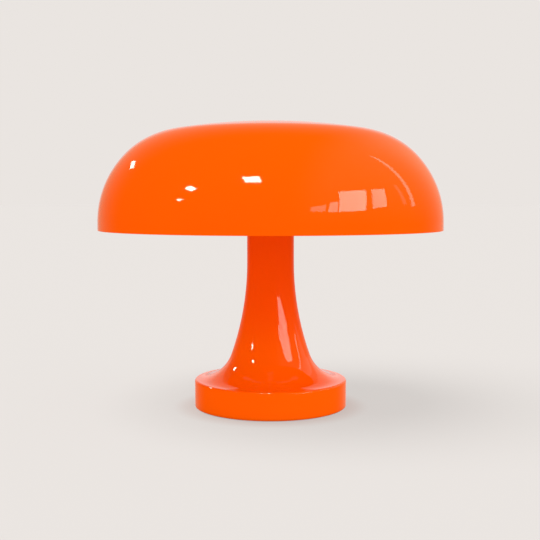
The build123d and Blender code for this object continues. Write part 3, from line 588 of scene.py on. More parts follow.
def finishes():
    """All the lamp's materials by name, made once."""
    if "glossy_orange" in bpy.data.materials:
        return {material.name: material for material in bpy.data.materials}
    colours = bpy.context.scene.lamp_finish
    make = finish_material
    gloss = make(
        "glossy_orange",
        tuple(colours.orange),
        tuple(colours.orange_deep),
        (0.02, 0.055),
        0.014,
        0.00001,
        Specular_IOR_Level=0.15,
    )
    # Paints shade up the stem into the gloss's colour.
    paint_stem_shade(gloss, tuple(colours.orange_painted_stem_shade))
    add_specks(gloss)
    cover = tuple(colours.cover)
    white = tuple(colours.white)
    enamel = tuple(colours.enamel)
    rubber = tuple(colours.rubber)
    glass = tuple(colours.glass)
    make("satin_orange", cover, dimmed(cover, 0.85), (0.38, 0.5), 0.0006, 0.00004)
    make("white_moulding", white, dimmed(white, 0.93), (0.3, 0.42), 0.0012, 0.00001)
    make("white_enamel", enamel, dimmed(enamel, 0.95), (0.12, 0.22), 0.004, 0.00002)
    make("moulded_rubber", rubber, dimmed(rubber, 0.7), (0.65, 0.85), 0.0005, 0.00003)
    make("opal_glass", glass, dimmed(glass, 0.97), (0.06, 0.12), 0.02, 0.000004)
    make("blackened_iron", (0.035, 0.035, 0.036), (0.02, 0.02, 0.021), (0.6, 0.8), 0.0016, 0.0002)
    make("black_vitrite", (0.012, 0.012, 0.014), (0.006, 0.006, 0.008), (0.08, 0.16), 0.002, 0.00001)
    make("brown_sleeve", (0.09, 0.03, 0.01), (0.07, 0.022, 0.008), (0.35, 0.5), 0.001, 0.00001)
    make("blue_sleeve", (0.01, 0.05, 0.32), (0.008, 0.04, 0.26), (0.35, 0.5), 0.001, 0.00001)
    metal = {"metallic": 1.0}
    make("zinc_plate", (0.60, 0.61, 0.62), (0.50, 0.50, 0.49), (0.25, 0.45), 0.0008, 0.00001, **metal)
    make("plain_brass", (0.80, 0.58, 0.25), (0.66, 0.45, 0.18), (0.22, 0.4), 0.001, 0.00001, **metal)
    make("rolled_aluminium", (0.78, 0.78, 0.79), (0.66, 0.66, 0.67), (0.2, 0.36), 0.0009, 0.00001, **metal)
    make("dull_solder", (0.45, 0.45, 0.46), (0.34, 0.34, 0.35), (0.45, 0.6), 0.0006, 0.00004, **metal)
    return {material.name: material for material in bpy.data.materials}


# Where the painted shade up the stem lies: full within STEM_REACH of the axis, gone by FLARE_REACH, and
# only below STEM_TOP.
STEM_REACH = 0.0235
FLARE_REACH = 0.036
STEM_TOP = 0.19


def paint_stem_shade(material, deep):
    """Paints shade into the colour up the stem: a deeper orange stands in for the shade's shadow and the
    orange light its underside shines back on it.
    """
    tree = material.node_tree
    base = tree.nodes["Principled BSDF"].inputs["Base Color"]
    place = add_node(tree, "ShaderNodeTexCoord").outputs["Object"]
    values = {0: place, 1: (1.0, 1.0, 0.0)}
    flat = add_node(tree, "ShaderNodeVectorMath", values, operation="MULTIPLY").outputs[0]
    reach = add_node(tree, "ShaderNodeVectorMath", {0: flat}, operation="LENGTH").outputs["Value"]
    slim = ramp(tree, reach, STEM_REACH, FLARE_REACH, 1.0, 0.0)
    height = add_node(tree, "ShaderNodeSeparateXYZ", {0: place}).outputs["Z"]
    share = maths(tree, "MULTIPLY", slim, maths(tree, "LESS_THAN", height, STEM_TOP))
    tree.links.new(mixed(tree, share, base.links[0].from_socket, (*deep, 1.0)), base)


SPECK_CELLS = 90.0
SPECK_RADIUS = 0.02
SPECK_CUT = 0.8
SPECK_DULLNESS = 0.35


def add_specks(material):
    """A few settled dust specks, duller than the gloss round them."""
    tree = material.node_tree
    roughness = tree.nodes["Principled BSDF"].inputs["Roughness"]
    place = add_node(tree, "ShaderNodeTexCoord").outputs["Object"]
    cells = add_node(tree, "ShaderNodeTexVoronoi", {"Vector": place, "Scale": SPECK_CELLS})
    near = maths(tree, "LESS_THAN", cells.outputs["Distance"], SPECK_RADIUS)
    chosen = add_node(tree, "ShaderNodeSeparateColor", {0: cells.outputs["Color"]}).outputs[0]
    speck = maths(tree, "MULTIPLY", near, maths(tree, "GREATER_THAN", chosen, SPECK_CUT))
    duller = maths(tree, "MULTIPLY", speck, SPECK_DULLNESS)
    tree.links.new(maths(tree, "ADD", roughness.links[0].from_socket, duller), roughness)


NODE_FINISH = {
    "ballast_weight": "blackened_iron",
    "lamp_pipe": "zinc_plate",
    "lower_washer": "zinc_plate",
    "lower_nut": "zinc_plate",
    "upper_washer": "zinc_plate",
    "upper_nut": "zinc_plate",
    "nipples": "zinc_plate",
    "nipple_nuts": "zinc_plate",
    "clamp_screws": "zinc_plate",
    "base_terminal_fixing": "zinc_plate",
    "carrier_screw": "zinc_plate",
    "cord_clamp": "white_moulding",
    "base_terminal": "white_moulding",
    "head_terminal": "white_moulding",
    "base_terminal_screws": "plain_brass",
    "head_terminal_screws": "plain_brass",
    "holder_contacts": "plain_brass",
    "live_riser": "brown_sleeve",
    "live_tails": "brown_sleeve",
    "neutral_riser": "blue_sleeve",
    "neutral_tails": "blue_sleeve",
}


# ------------------------------------------------------------------ small parts


def swap_mesh(obj, modifier):
    """Replaces an object's mesh with what its modifier makes of it."""
    bpy.context.view_layer.update()
    evaluated = obj.evaluated_get(bpy.context.evaluated_depsgraph_get())
    mesh = bpy.data.meshes.new_from_object(evaluated)
    obj.modifiers.remove(modifier)
    obj.data = mesh
    if not mesh.polygons:
        raise RuntimeError(f"{obj.name} was cut away")


def cut(obj, tool):
    """Cuts a closed tool out of a piece."""
    modifier = obj.modifiers.new("cut", "BOOLEAN")
    modifier.operation = "DIFFERENCE"
    modifier.solver = "EXACT"
    modifier.object = tool
    swap_mesh(obj, modifier)
    bpy.data.objects.remove(tool)


def block(name, low_corner, high_corner, material):
    """A closed cutting block between two corners."""
    x0, y0, z0 = low_corner
    x1, y1, z1 = high_corner
    loops = [[(x0, y0, z), (x1, y0, z), (x1, y1, z), (x0, y1, z)] for z in (z0, z1)]
    return stacked(name, loops, material)


HEAD_RADIUS = 0.0028
HEAD_RISE = 0.0018
HEAD_SIDE_SHARE = 0.45
HEAD_STEPS = 8
RECESS_LONG = 0.0017
RECESS_SHORT = 0.0004
RECESS_FLOOR_SHARE = 0.5
RECESS_OVERRUN_SHARE = 1.2


def screw_head(name, material, facing):
    """A pan head with a cross recess on the Z axis, its seat at z = 0, facing up (1) or down (-1)."""
    rise = facing * HEAD_RISE
    crown = [(0.0, 0.0), (HEAD_RADIUS, 0.0), (HEAD_RADIUS, rise * HEAD_SIDE_SHARE)]
    for step in range(1, HEAD_STEPS):
        bearing = math.radians(90 * step / HEAD_STEPS)
        share = HEAD_SIDE_SHARE + (1 - HEAD_SIDE_SHARE) * math.sin(bearing)
        crown.append((HEAD_RADIUS * math.cos(bearing), rise * share))
    crown.append((0.0, rise))
    head = turned(name, crown, material, segments=TINY, closed=False)
    lower, upper = sorted((rise * RECESS_OVERRUN_SHARE, rise * RECESS_FLOOR_SHARE))
    for wide, deep in ((RECESS_LONG, RECESS_SHORT), (RECESS_SHORT, RECESS_LONG)):
        cut(head, block("recess", (-wide, -deep, lower), (wide, deep, upper), material))
    smooth_by_angle(head, SHARP_EDGE)
    return head


# ------------------------------------------------------------------ pieces


class LAMP_OT_shade(bpy.types.Operator):
    """Turns the glossy dome, with the boss that drops over the carrier."""

    bl_idname = "lamp.build_shade"
    bl_label = "Shade"
    skirt_steps = 4
    boss_root = 0.001
    boss_edge = 0.0004

    def dome(self, size, inset):
        """Points of the dome from rim to pole, that far inside the outer form."""
        start = (size.radius - inset, size.rim_height + size.skirt_height)
        side = tangent_arc(start, math.pi / 2, size.side_radius - inset, size.side_angle)
        heading = math.pi / 2 + size.side_angle
        shoulder = tangent_arc(side[-1], heading, size.shoulder_radius - inset, size.shoulder_angle)
        heading += size.shoulder_angle
        crown_radius = shoulder[-1][0] / math.cos(heading - math.pi / 2)
        crown = tangent_arc(shoulder[-1], heading, crown_radius, math.pi - heading)
        rise = [
            (start[0], size.rim_height + size.skirt_height * step / self.skirt_steps)
            for step in range(1, self.skirt_steps)
        ]
        points = rise + side + shoulder[1:] + crown[1:]
        points[-1] = (0.0, points[-1][1])
        return points

    def execute(self, context):
        size = context.scene.lamp_shade
        outer = self.dome(size, 0.0)
        inner = self.dome(size, size.wall)
        rim = size.rim_height
        lip = size.lip
        outer_lip = arc((size.radius - lip, rim + lip), lip, 0.0, -math.pi / 2)
        inner_lip = arc((size.radius - size.wall + lip, rim + lip), lip, -math.pi / 2, -math.pi / 2)
        seat = low("shade_carrier").z + SEAT_HEIGHT
        boss_out = size.boss_radius + size.wall
        walls = [point for point in inner if point[0] > boss_out]
        top_out = walls[-1][1]
        centre = [point for point in inner if point[0] < size.boss_radius]
        boss = [
            (boss_out, top_out, self.boss_root),
            (boss_out, seat, self.boss_edge),
            (size.boss_radius, seat, self.boss_edge),
            (size.boss_radius, centre[0][1], self.boss_edge),
        ]
        boss = rounded([(*walls[-1], 0.0), *boss, (*centre[0], 0.0)], closed=False)
        outline = list(reversed(outer)) + outer_lip + inner_lip + walls[:-1] + boss + centre[1:]
        gloss = finishes()["glossy_orange"]
        piece = turned("shade_shell", outline, gloss, segments=size.segments, closed=False)
        settle(piece, "shade", "abs_orange", "shade")
        return {"FINISHED"}


class LAMP_OT_stem(bpy.types.Operator):
    """Turns the flared stem and round foot, with the cord inlet's hole."""

    bl_idname = "lamp.build_stem"
    bl_label = "Stem and foot"
    stem_steps = 12
    side_steps = 10
    inlet_radius = 0.0047
    inlet_start = 0.064
    inlet_end = 0.076
    sharp_edge = 40

    def flare(self, size, inset, top, height):
        """Points down the stem's side and flare, that far inside the outer form."""
        gentle = size.flare_angle
        end = size.foot_radius - size.foot_edge
        wide = size.flare_radius * (1 - math.cos(gentle))
        tight = (end - size.stem_radius - wide) / math.cos(gentle)
        drop = tight * (1 - math.sin(gentle)) + size.flare_radius * math.sin(gentle)
        start = (size.stem_radius - inset, height + drop)
        upper = tangent_arc(start, -math.pi / 2, size.flare_radius + inset, gentle)
        lower = tangent_arc(upper[-1], -math.pi / 2 + gentle, tight + inset, math.pi / 2 - gentle)
        fall = (start[1] - top) / self.stem_steps
        straight = [(start[0], top + fall * step) for step in range(self.stem_steps)]
        return straight + upper + lower[1:]

    def execute(self, context):
        size = context.scene.lamp_stem
        top = high("stem_base").z
        bottom = low("stem_base").z
        outer = self.flare(size, 0.0, top, size.foot_height)
        inner = self.flare(size, size.wall, top, size.foot_height)
        inner_wall = size.foot_radius - size.wall
        inner = [point for point in inner if point[0] < inner_wall]
        edge_centre = (size.foot_radius - size.foot_edge, size.foot_height - size.foot_edge)
        edge = arc(edge_centre, size.foot_edge, math.pi / 2, -math.pi / 2)
        low_centre = (size.foot_radius - size.foot_lower_edge, bottom + size.foot_lower_edge)
        fall = (low_centre[1] - edge_centre[1]) / self.side_steps
        side = [(size.foot_radius, edge_centre[1] + fall * step) for step in range(1, self.side_steps)]
        low_edge = arc(low_centre, size.foot_lower_edge, 0.0, -math.pi / 2)
        inside = [(inner_wall, bottom), (inner_wall, inner[-1][1])]
        outline = outer + edge[1:] + side + low_edge + inside + list(reversed(inner))
        gloss = finishes()["glossy_orange"]
        piece = turned("stem_and_foot", outline, gloss, segments=size.segments)
        height = (low("cord_gland").z + high("cord_gland").z) / 2
        inlet = (self.inlet_radius, self.inlet_start, self.inlet_end)
        cut(piece, drill(*inlet, gloss, NARROW, side="back", height=height))
        smooth_by_angle(piece, self.sharp_edge)
        settle(piece, "lamp_base", "abs_orange", "stem_base")
        return {"FINISHED"}


COVER_LOWER_EDGE = 0.0006
COVER_UPPER_EDGE = 0.0003
FIXING_CIRCLE = 0.058
COVER_SCREWS = 3
COVER_SCREW_START = 30
SINK_RADIUS = 0.0029
SINK_DEPTH = 0.00125
SINK_OVERRUN = 0.001
PADS = 4
PAD_START = 45
PAD_RADIUS = 0.006
PAD_EDGE = 0.0005
PAD_SHARP_EDGE = 50
PAD_GROOVE = ((0.0036, 0.0), (0.0039, 0.0003), (0.0043, 0.0003), (0.0046, 0.0))
GROMMET_BORE = 0.0032
GROMMET_NECK = 0.0046
GROMMET_FLANGE = 0.0062
GROMMET_INNER_END = 0.0672
GROMMET_SHOULDER = 0.0686
GROMMET_OUTER_END = 0.0731
GROMMET_SEATING = 0.0004
GROMMET_BORE_EDGES = (0.0004, 0.0006)
GROMMET_FLANGE_EDGES = (0.0005, 0.0008)


class LAMP_OT_underside(bpy.types.Operator):
    """Makes the cover under the foot, its screws, the rubber feet and the cord grommet."""

    bl_idname = "lamp.build_underside"
    bl_label = "Underside"

    def cover(self, material, bottom):
        """The satin cover, with a sink for each screw's head."""
        top = high("bottom_cover").z
        radius = high("bottom_cover").x
        edges = [(radius, bottom, COVER_LOWER_EDGE), (radius, top, COVER_UPPER_EDGE)]
        outline = rounded([(0.0, bottom, 0.0), *edges, (0.0, top, 0.0)], closed=False)
        piece = turned("underside_cover", outline, material, segments=WIDE, closed=False)
        for index in range(COVER_SCREWS):
            bearing = math.radians(COVER_SCREW_START + 360 / COVER_SCREWS * index)
            tool = drill(SINK_RADIUS, bottom - SINK_OVERRUN, bottom + SINK_DEPTH, material, TINY)
            for vertex in tool.data.vertices:
                vertex.co += Vector((math.cos(bearing), math.sin(bearing), 0.0)) * FIXING_CIRCLE
            cut(piece, tool)
        smooth_by_angle(piece, SHARP_EDGE)
        settle(piece, "lamp_base", "cover_plastic", "bottom_cover")

    def screws(self, material, bottom):
        """The cover's screws, set in their sinks."""
        head = screw_head("screw", material, -1)
        seat = bottom + SINK_DEPTH
        start = COVER_SCREW_START
        screws = repeated("cover_screw_set", head, COVER_SCREWS, FIXING_CIRCLE, start, seat, material)
        settle(screws, "lamp_base", "zinc_steel", "cover_screws")

    def feet(self, material, bottom):
        """The rubber feet, each with a shallow groove in its sole."""
        sole = [(0.0, 0.0, 0.0), *((r, z, 0.0) for r, z in PAD_GROOVE), (PAD_RADIUS, 0.0, PAD_EDGE)]
        outline = rounded([*sole, (PAD_RADIUS, bottom, 0.0), (0.0, bottom, 0.0)], closed=False)
        foot = crisp("pad", outline, material, segments=NARROW, sharp=PAD_SHARP_EDGE)
        feet = repeated("foot_pads", foot, PADS, FIXING_CIRCLE, PAD_START, 0.0, material)
        settle(feet, "lamp_base", "rubber", "rubber_feet")

    def grommet(self, material, wall):
        """The rubber ring round the cord inlet, gripping the foot's wall from both sides."""
        seat = wall - GROMMET_SEATING
        inner_bore, outer_bore = GROMMET_BORE_EDGES
        inner_flange, outer_flange = GROMMET_FLANGE_EDGES
        corners = [
            (GROMMET_BORE, GROMMET_INNER_END, inner_bore),
            (GROMMET_FLANGE, GROMMET_INNER_END, inner_flange),
            (GROMMET_FLANGE, GROMMET_SHOULDER, 0.0),
            (GROMMET_NECK, GROMMET_SHOULDER, 0.0),
            (GROMMET_NECK, seat, 0.0),
            (GROMMET_FLANGE, seat, 0.0),
            (GROMMET_FLANGE, GROMMET_OUTER_END, outer_flange),
            (GROMMET_BORE, GROMMET_OUTER_END, outer_bore),
        ]
        height = (low("cord_gland").z + high("cord_gland").z) / 2
        place = {"side": "back", "height": height, "segments": MIDDLE, "closed": True}
        ring = crisp("cord_grommet", rounded(corners), material, **place)
        settle(ring, "lamp_base", "rubber", "cord_gland")

    def execute(self, context):
        materials = finishes()
        bottom = low("bottom_cover").z
        self.cover(materials["satin_orange"], bottom)
        self.screws(materials["zinc_plate"], bottom)
        self.feet(materials["moulded_rubber"], bottom)
        self.grommet(materials["moulded_rubber"], context.scene.lamp_stem.foot_radius)
        return {"FINISHED"}


BOX_CORNER = 0.003
BOX_FOLD = 0.001
BOX_FOLD_STEPS = 4
BOX_FOLD_END = 0.0012
BOX_RIM_DROP = 0.0001
BOX_RIM_INSET = 0.0003
# Insets and heights of the lid's outline: above the box's top, then below the lid's own top.
LID_JOINT = ((0.0003, 0.00005), (0.0, 0.0003))
LID_EDGE = ((0.0, 0.0005), (0.00015, 0.00015), (0.0005, 0.0))
LID_SCREWS = 4
LID_SCREW_OFFSET = 0.0145
LID_SCREW_START = 45
COLLAR_THICKNESS = 0.002
COLLAR_EDGE = 0.0004
CARRIER_POST_RADIUS = 0.010
CARRIER_FLANGE_RADIUS = 0.026
CARRIER_FLANGE_THICKNESS = 0.003
CARRIER_FLANGE_EDGE = 0.0008
CARRIER_FILLET = 0.0006
SPIGOT_RADIUS = 0.0197
SPIGOT_BORE = 0.0167
SPIGOT_EDGE = 0.001


class LAMP_OT_head(bpy.types.Operator):
    """Makes the enamelled box on the stem, its lid and screws, the collar and the shade's seat."""

    bl_idname = "lamp.build_head"
    bl_label = "Lamp head"

    def box(self, material, half, top):
        """The folded box, its lower edges rounded."""
        floor = low("lamp_head").z
        loops = []
        for step in range(BOX_FOLD_STEPS + 1):
            bearing = math.radians(90 * step / BOX_FOLD_STEPS)
            inset = BOX_FOLD * (1 - math.sin(bearing))
            height = floor + BOX_FOLD * (1 - math.cos(bearing))
            loops.append(rounded_square(half - inset, BOX_CORNER - inset, height))
        loops.append(rounded_square(half, BOX_CORNER, floor + BOX_FOLD_END))
        loops.append(rounded_square(half, BOX_CORNER, top - BOX_RIM_DROP))
        loops.append(rounded_square(half - BOX_RIM_INSET, BOX_CORNER - BOX_RIM_INSET, top))
        settle(stacked("head_box", loops, material), "lamp_base", "white_steel", "lamp_head")

    def lid(self, material, half, top, lid_top):
        """The lid, with a fine joint line above the box and its upper edges rounded."""
        levels = [(inset, top + rise) for inset, rise in LID_JOINT]
        levels += [(inset, lid_top - drop) for inset, drop in LID_EDGE]
        loops = [rounded_square(half - inset, BOX_CORNER - inset, height) for inset, height in levels]
        settle(stacked("head_cover", loops, material), "lamp_base", "white_steel", "head_lid")

    def collar(self, material):
        """The rim of the stem's cap, which shows between stem and box."""
        radius = high("stem_cap").x
        top = high("stem_cap").z
        bottom = top - COLLAR_THICKNESS
        corners = [(0.0, bottom, 0.0), (radius, bottom, 0.0), (radius, top, COLLAR_EDGE), (0.0, top, 0.0)]
        cap = crisp("stem_collar", rounded(corners, closed=False), material, segments=WIDE)
        settle(cap, "lamp_base", "white_plastic", "stem_cap")

    def carrier(self, material):
        """The post, flange and spigot that the shade sits on."""
        foot = low("shade_carrier").z
        seat = foot + SEAT_HEIGHT
        flange = seat - CARRIER_FLANGE_THICKNESS
        spigot = high("shade_carrier").z
        corners = [
            (0.0, foot, 0.0),
            (CARRIER_POST_RADIUS, foot, 0.0),
            (CARRIER_POST_RADIUS, flange, CARRIER_FILLET),
            (CARRIER_FLANGE_RADIUS, flange, CARRIER_FLANGE_EDGE),
            (CARRIER_FLANGE_RADIUS, seat, CARRIER_FLANGE_EDGE),
            (SPIGOT_RADIUS, seat, 0.0),
            (SPIGOT_RADIUS, spigot, SPIGOT_EDGE),
            (SPIGOT_BORE, spigot, SPIGOT_EDGE),
            (SPIGOT_BORE, seat, CARRIER_FILLET),
            (0.0, seat, 0.0),
        ]
        holder = crisp("shade_seat", rounded(corners, closed=False), material, segments=WIDE)
        settle(holder, "lamp_base", "white_plastic", "shade_carrier")

    def execute(self, context):
        materials = finishes()
        half = high("lamp_head").x
        top = high("lamp_head").z
        lid_top = high("head_lid").z
        self.box(materials["white_enamel"], half, top)
        self.lid(materials["white_enamel"], half, top, lid_top)
        zinc = materials["zinc_plate"]
        head = screw_head("screw", zinc, 1)
        circle = LID_SCREW_OFFSET * math.sqrt(2)
        screws = repeated("lid_screw_set", head, LID_SCREWS, circle, LID_SCREW_START, lid_top, zinc)
        settle(screws, "lamp_base", "zinc_steel", "lid_screws")
        self.collar(materials["white_moulding"])
        self.carrier(materials["white_moulding"])
        return {"FINISHED"}


def thread_between(depth, pitch, start, end):
    """A turned piece's inputs for a rolled thread between two heights."""
    return {"Thread Depth": depth, "Thread Pitch": pitch, "Thread Start": start, "Thread End": end}


HOLDER_RADIUS = 0.0135
HOLDER_NECK_RADIUS = 0.010
HOLDER_TAPER = 0.008
HOLDER_BORE = 0.00785
HOLDER_FLOOR = 0.019
HOLDER_NECK_EDGE = 0.0005
HOLDER_SHOULDER_EDGE = 0.001
HOLDER_MOUTH_EDGE = 0.0012
HOLDER_BORE_EDGE = 0.0004
HOLDER_SHARP_EDGE = 40
HOLDER_DIVISIONS = 72
GRIP_RINGS = 4
GRIP_LENGTH = 0.02
GRIP_PITCH = 0.00425
GRIP_GROOVE = ((-0.00071, 0.0), (-0.00051, 0.0006), (0.00051, 0.0006), (0.00071, 0.0))
GRIP_EDGE = 0.00012
SLEEVE_BORE = 0.00725
SLEEVE_RADIUS = 0.00775
SLEEVE_START = 0.020
SLEEVE_END = 0.003
SLEEVE_THREAD_DEPTH = 0.00018
SLEEVE_PLAIN_END = 0.0005
SLEEVE_ROWS = 68


class LAMP_OT_lampholders(bpy.types.Operator):
    """Makes the four lampholders and the brass screw shells inside them."""

    bl_idname = "lamp.build_lampholders"
    bl_label = "Lampholders"

    def holder(self, start, mouth):
        """The outline of a lampholder, with grip rings cut round its mouth."""
        outline = [
            (0.0, start, 0.0),
            (HOLDER_NECK_RADIUS, start, HOLDER_NECK_EDGE),
            (HOLDER_RADIUS, start + HOLDER_TAPER, HOLDER_SHOULDER_EDGE),
        ]
        for ring in range(GRIP_RINGS):
            centre = mouth - GRIP_LENGTH + (ring + 0.5) * GRIP_PITCH
            for reach, inset in GRIP_GROOVE:
                outline.append((HOLDER_RADIUS - inset, centre + reach, GRIP_EDGE))
        outline += [
            (HOLDER_RADIUS, mouth, HOLDER_MOUTH_EDGE),
            (HOLDER_BORE, mouth, HOLDER_BORE_EDGE),
            (HOLDER_BORE, start + HOLDER_FLOOR, 0.0),
            (0.0, start + HOLDER_FLOOR, 0.0),
        ]
        return rounded(outline, closed=False)

    def execute(self, context):
        materials = finishes()
        size = context.scene.lamp_bulb
        start = high("lamp_head").x
        mouth = high("lampholder_right").x
        axis = (low("lampholder_right").z + high("lampholder_right").z) / 2
        outline = self.holder(start, mouth)
        white = materials["white_moulding"]
        form = {"sharp": HOLDER_SHARP_EDGE, "segments": HOLDER_DIVISIONS, "height": axis}
        for side in SIDES:
            body = crisp(f"lampholder_shell_{side}", outline, white, side=side, **form)
            settle(body, "lamp_base", "white_plastic", f"lampholder_{side}")

        first = mouth - SLEEVE_START
        last = mouth - SLEEVE_END
        rise = (last - first) / SLEEVE_ROWS
        outside = [(SLEEVE_RADIUS, first + rise * row) for row in range(SLEEVE_ROWS + 1)]
        inside = [(SLEEVE_BORE, z) for _, z in reversed(outside)]
        ends = (first + SLEEVE_PLAIN_END, last - SLEEVE_PLAIN_END)
        form = {"segments": MIDDLE, "height": axis, "marked": range(len(outside + inside))}
        form.update(thread_between(SLEEVE_THREAD_DEPTH, size.thread_pitch, *ends))
        brass = materials["plain_brass"]
        sleeves = [turned(f"sleeve_{side}", outside + inside, brass, side=side, **form) for side in SIDES]
        settle(join("holder_sleeves", sleeves), "lamp_base", "brass", "holder_shells")
        return {"FINISHED"}


def join(name, objects):
    """Joins like pieces into one mesh object."""
    shape = bmesh.new()
    for obj in objects:
        shape.from_mesh(obj.data)
    mesh = bpy.data.meshes.new(name)
    for material in objects[0].data.materials:
        mesh.materials.append(material)
    shape.to_mesh(mesh)
    shape.free()
    for obj in objects:
        bpy.data.objects.remove(obj)
    joined = bpy.data.objects.new(name, mesh)
    bpy.context.scene.collection.objects.link(joined)
    return joined


CAP_ROWS = 64
CAP_CORNER = 0.0004
CAP_LIP = 0.0002
CAP_WALL = 0.00065
CAP_DEPTH = 0.005
CAP_TRIM = 0.0007
CAP_THREAD_START = 0.0008
CAP_THREAD_END = 0.0022
GLASS_STEM_DEPTH = 0.0049
GLASS_STEM_INSET = 0.00075
GLASS_STEP = 0.0002
GLASS_STEP_RISE = 0.00002
GLASS_NECK_RISE = 0.0003
CONE_RADIUS = 0.0034
CONE_EDGE = 0.0003
TIP_RADIUS = 0.0024
TIP_EDGE = 0.0004


class LAMP_OT_bulbs(bpy.types.Operator):
    """Makes the four small globe bulbs: opal glass, rolled screw cap, black glass and tip."""

    bl_idname = "lamp.build_bulbs"
    bl_label = "Bulbs"

    def glass(self, size, cap_end, end):
        """Points of the envelope from the neck to the far pole."""
        centre = end - size.globe_radius
        reach = size.globe_radius + size.waist_radius
        rise = size.neck_radius + size.waist_radius
        waist_start = centre - math.sqrt(reach**2 - rise**2)
        turn = math.acos(rise / reach)
        waist = tangent_arc((size.neck_radius, waist_start), math.pi / 2, size.waist_radius, -turn)
        globe = tangent_arc(waist[-1], math.pi / 2 - turn, size.globe_radius, math.pi / 2 + turn)
        globe[-1] = (0.0, globe[-1][1])
        spigot = size.neck_radius - GLASS_STEM_INSET
        neck = [
            (0.0, cap_end - GLASS_STEM_DEPTH),
            (spigot, cap_end - GLASS_STEM_DEPTH),
            (spigot, cap_end),
            (size.neck_radius - GLASS_STEP, cap_end + GLASS_STEP_RISE),
            (size.neck_radius, cap_end + GLASS_NECK_RISE),
        ]
        return neck + waist + globe[1:]

    def cap(self, cap_low, cap_end, radius):
        """Points of the screw cap, and which of them carry the thread."""
        rise = (cap_end - cap_low - CAP_TRIM) / CAP_ROWS
        wall = [(radius, cap_low + CAP_CORNER + rise * row) for row in range(CAP_ROWS + 1)]
        base = [(0.0, cap_low), (radius - CAP_CORNER, cap_low)]
        inner = radius - CAP_WALL
        mouth = [(radius - CAP_LIP, cap_end), (inner, cap_end), (inner, cap_end - CAP_DEPTH)]
        outline = base + wall + mouth + [(0.0, cap_end - CAP_DEPTH)]
        return outline, range(len(base), len(base) + len(wall))

    def execute(self, context):
        materials = finishes()
        size = context.scene.lamp_bulb
        tip = low("bulb_contact_right").x
        cap_low = low("bulb_cap_right").x
        cap_end = high("bulb_cap_right").x
        axis = (low("bulb_glass_right").z + high("bulb_glass_right").z) / 2
        glass_low = high("bulb_contact_right").x
        radius = high("bulb_cap_right").y
        envelope = self.glass(size, cap_end, high("bulb_glass_right").x)
        cap, marked = self.cap(cap_low, cap_end, radius)
        ends = (cap_low + CAP_THREAD_START, cap_end - CAP_THREAD_END)
        thread = thread_between(size.thread_depth, size.thread_pitch, *ends)
        shoulder = (radius - CAP_CORNER, cap_low, 0.0)
        waist = (CONE_RADIUS, glass_low, CONE_EDGE)
        cone = rounded([(0.0, glass_low, 0.0), waist, shoulder, (0.0, cap_low, 0.0)], closed=False)
        point = (TIP_RADIUS, tip, TIP_EDGE)
        root = [(TIP_RADIUS, glass_low, 0.0), (0.0, glass_low, 0.0)]
        contact = rounded([(0.0, tip, 0.0), point, *root], closed=False)
        for side in SIDES:
            place = {"closed": False, "side": side, "height": axis}
            body = f"bulb_{side}"
            globe = turned(f"globe_{side}", envelope, materials["opal_glass"], segments=WIDE, **place)
            settle(globe, body, "opal_glass", f"bulb_glass_{side}")
            metal = materials["rolled_aluminium"]
            screw = turned(f"screw_cap_{side}", cap, metal, marked=marked, **place, **thread)
            settle(screw, body, "cap_metal", f"bulb_cap_{side}")
            black = crisp(f"cap_glass_{side}", cone, materials["black_vitrite"], segments=NARROW, **place)
            settle(black, body, "black_glass", f"bulb_insulator_{side}")
            dot = crisp(f"cap_tip_{side}", contact, materials["dull_solder"], segments=TINY, **place)
            settle(dot, body, "solder", f"bulb_contact_{side}")
        return {"FINISHED"}


class LAMP_OT_inner_parts(bpy.types.Operator):
    """Gives the pipe, nuts, ballast, clamp, terminal blocks and wires their finishes."""

    bl_idname = "lamp.finish_inner_parts"
    bl_label = "Inner parts"

    def execute(self, context):
        materials = finishes()
        for name, finish in NODE_FINISH.items():
            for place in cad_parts[name].material_slots:
                place.material = materials[finish]
        return {"FINISHED"}


# ------------------------------------------------------------------ stage


def bearing_vector(azimuth, elevation):
    """Direction with azimuth in degrees from the camera's side, positive to the right, and elevation."""
    across = math.radians(azimuth)
    up = math.radians(elevation)
    return Vector((math.sin(across) * math.cos(up), -math.cos(across) * math.cos(up), math.sin(up)))


def glow(name, level, tint):
    """An emitting material that lets rays on, so that one panel never hides another."""
    material = bpy.data.materials.new(name)
    material.use_nodes = True
    tree = material.node_tree
    tree.nodes.clear()
    light = add_node(tree, "ShaderNodeEmission", {"Color": (*tint, 1.0), "Strength": level})
    clear = add_node(tree, "ShaderNodeBsdfTransparent")
    both = add_node(tree, "ShaderNodeAddShader", {0: light.outputs[0], 1: clear.outputs[0]})
    add_node(tree, "ShaderNodeOutputMaterial", {"Surface": both.outputs[0]})
    return material


PANEL_TINT = (1.0, 0.93, 0.82)
PANEL_DISTANCE = 3.0


def reflection_panel(name, origin, corners, level, only):
    """A bright panel that only the gloss of one piece shows.

    Its corners are (azimuth, elevation) as seen from origin.
    """
    shape = bmesh.new()
    rays = [bearing_vector(*corner) * PANEL_DISTANCE for corner in corners]
    shape.faces.new([shape.verts.new(Vector(origin) + ray) for ray in rays])
    mesh = bpy.data.meshes.new(name)
    shape.to_mesh(mesh)
    shape.free()
    mesh.materials.append(glow(name, level, PANEL_TINT))
    panel = bpy.data.objects.new(name, mesh)
    bpy.context.scene.collection.objects.link(panel)
    panel.visible_camera = False
    panel.visible_diffuse = False
    panel.visible_shadow = False
    panel.visible_transmission = False
    panel.visible_volume_scatter = False
    panel.light_linking.receiver_collection = only
    return panel


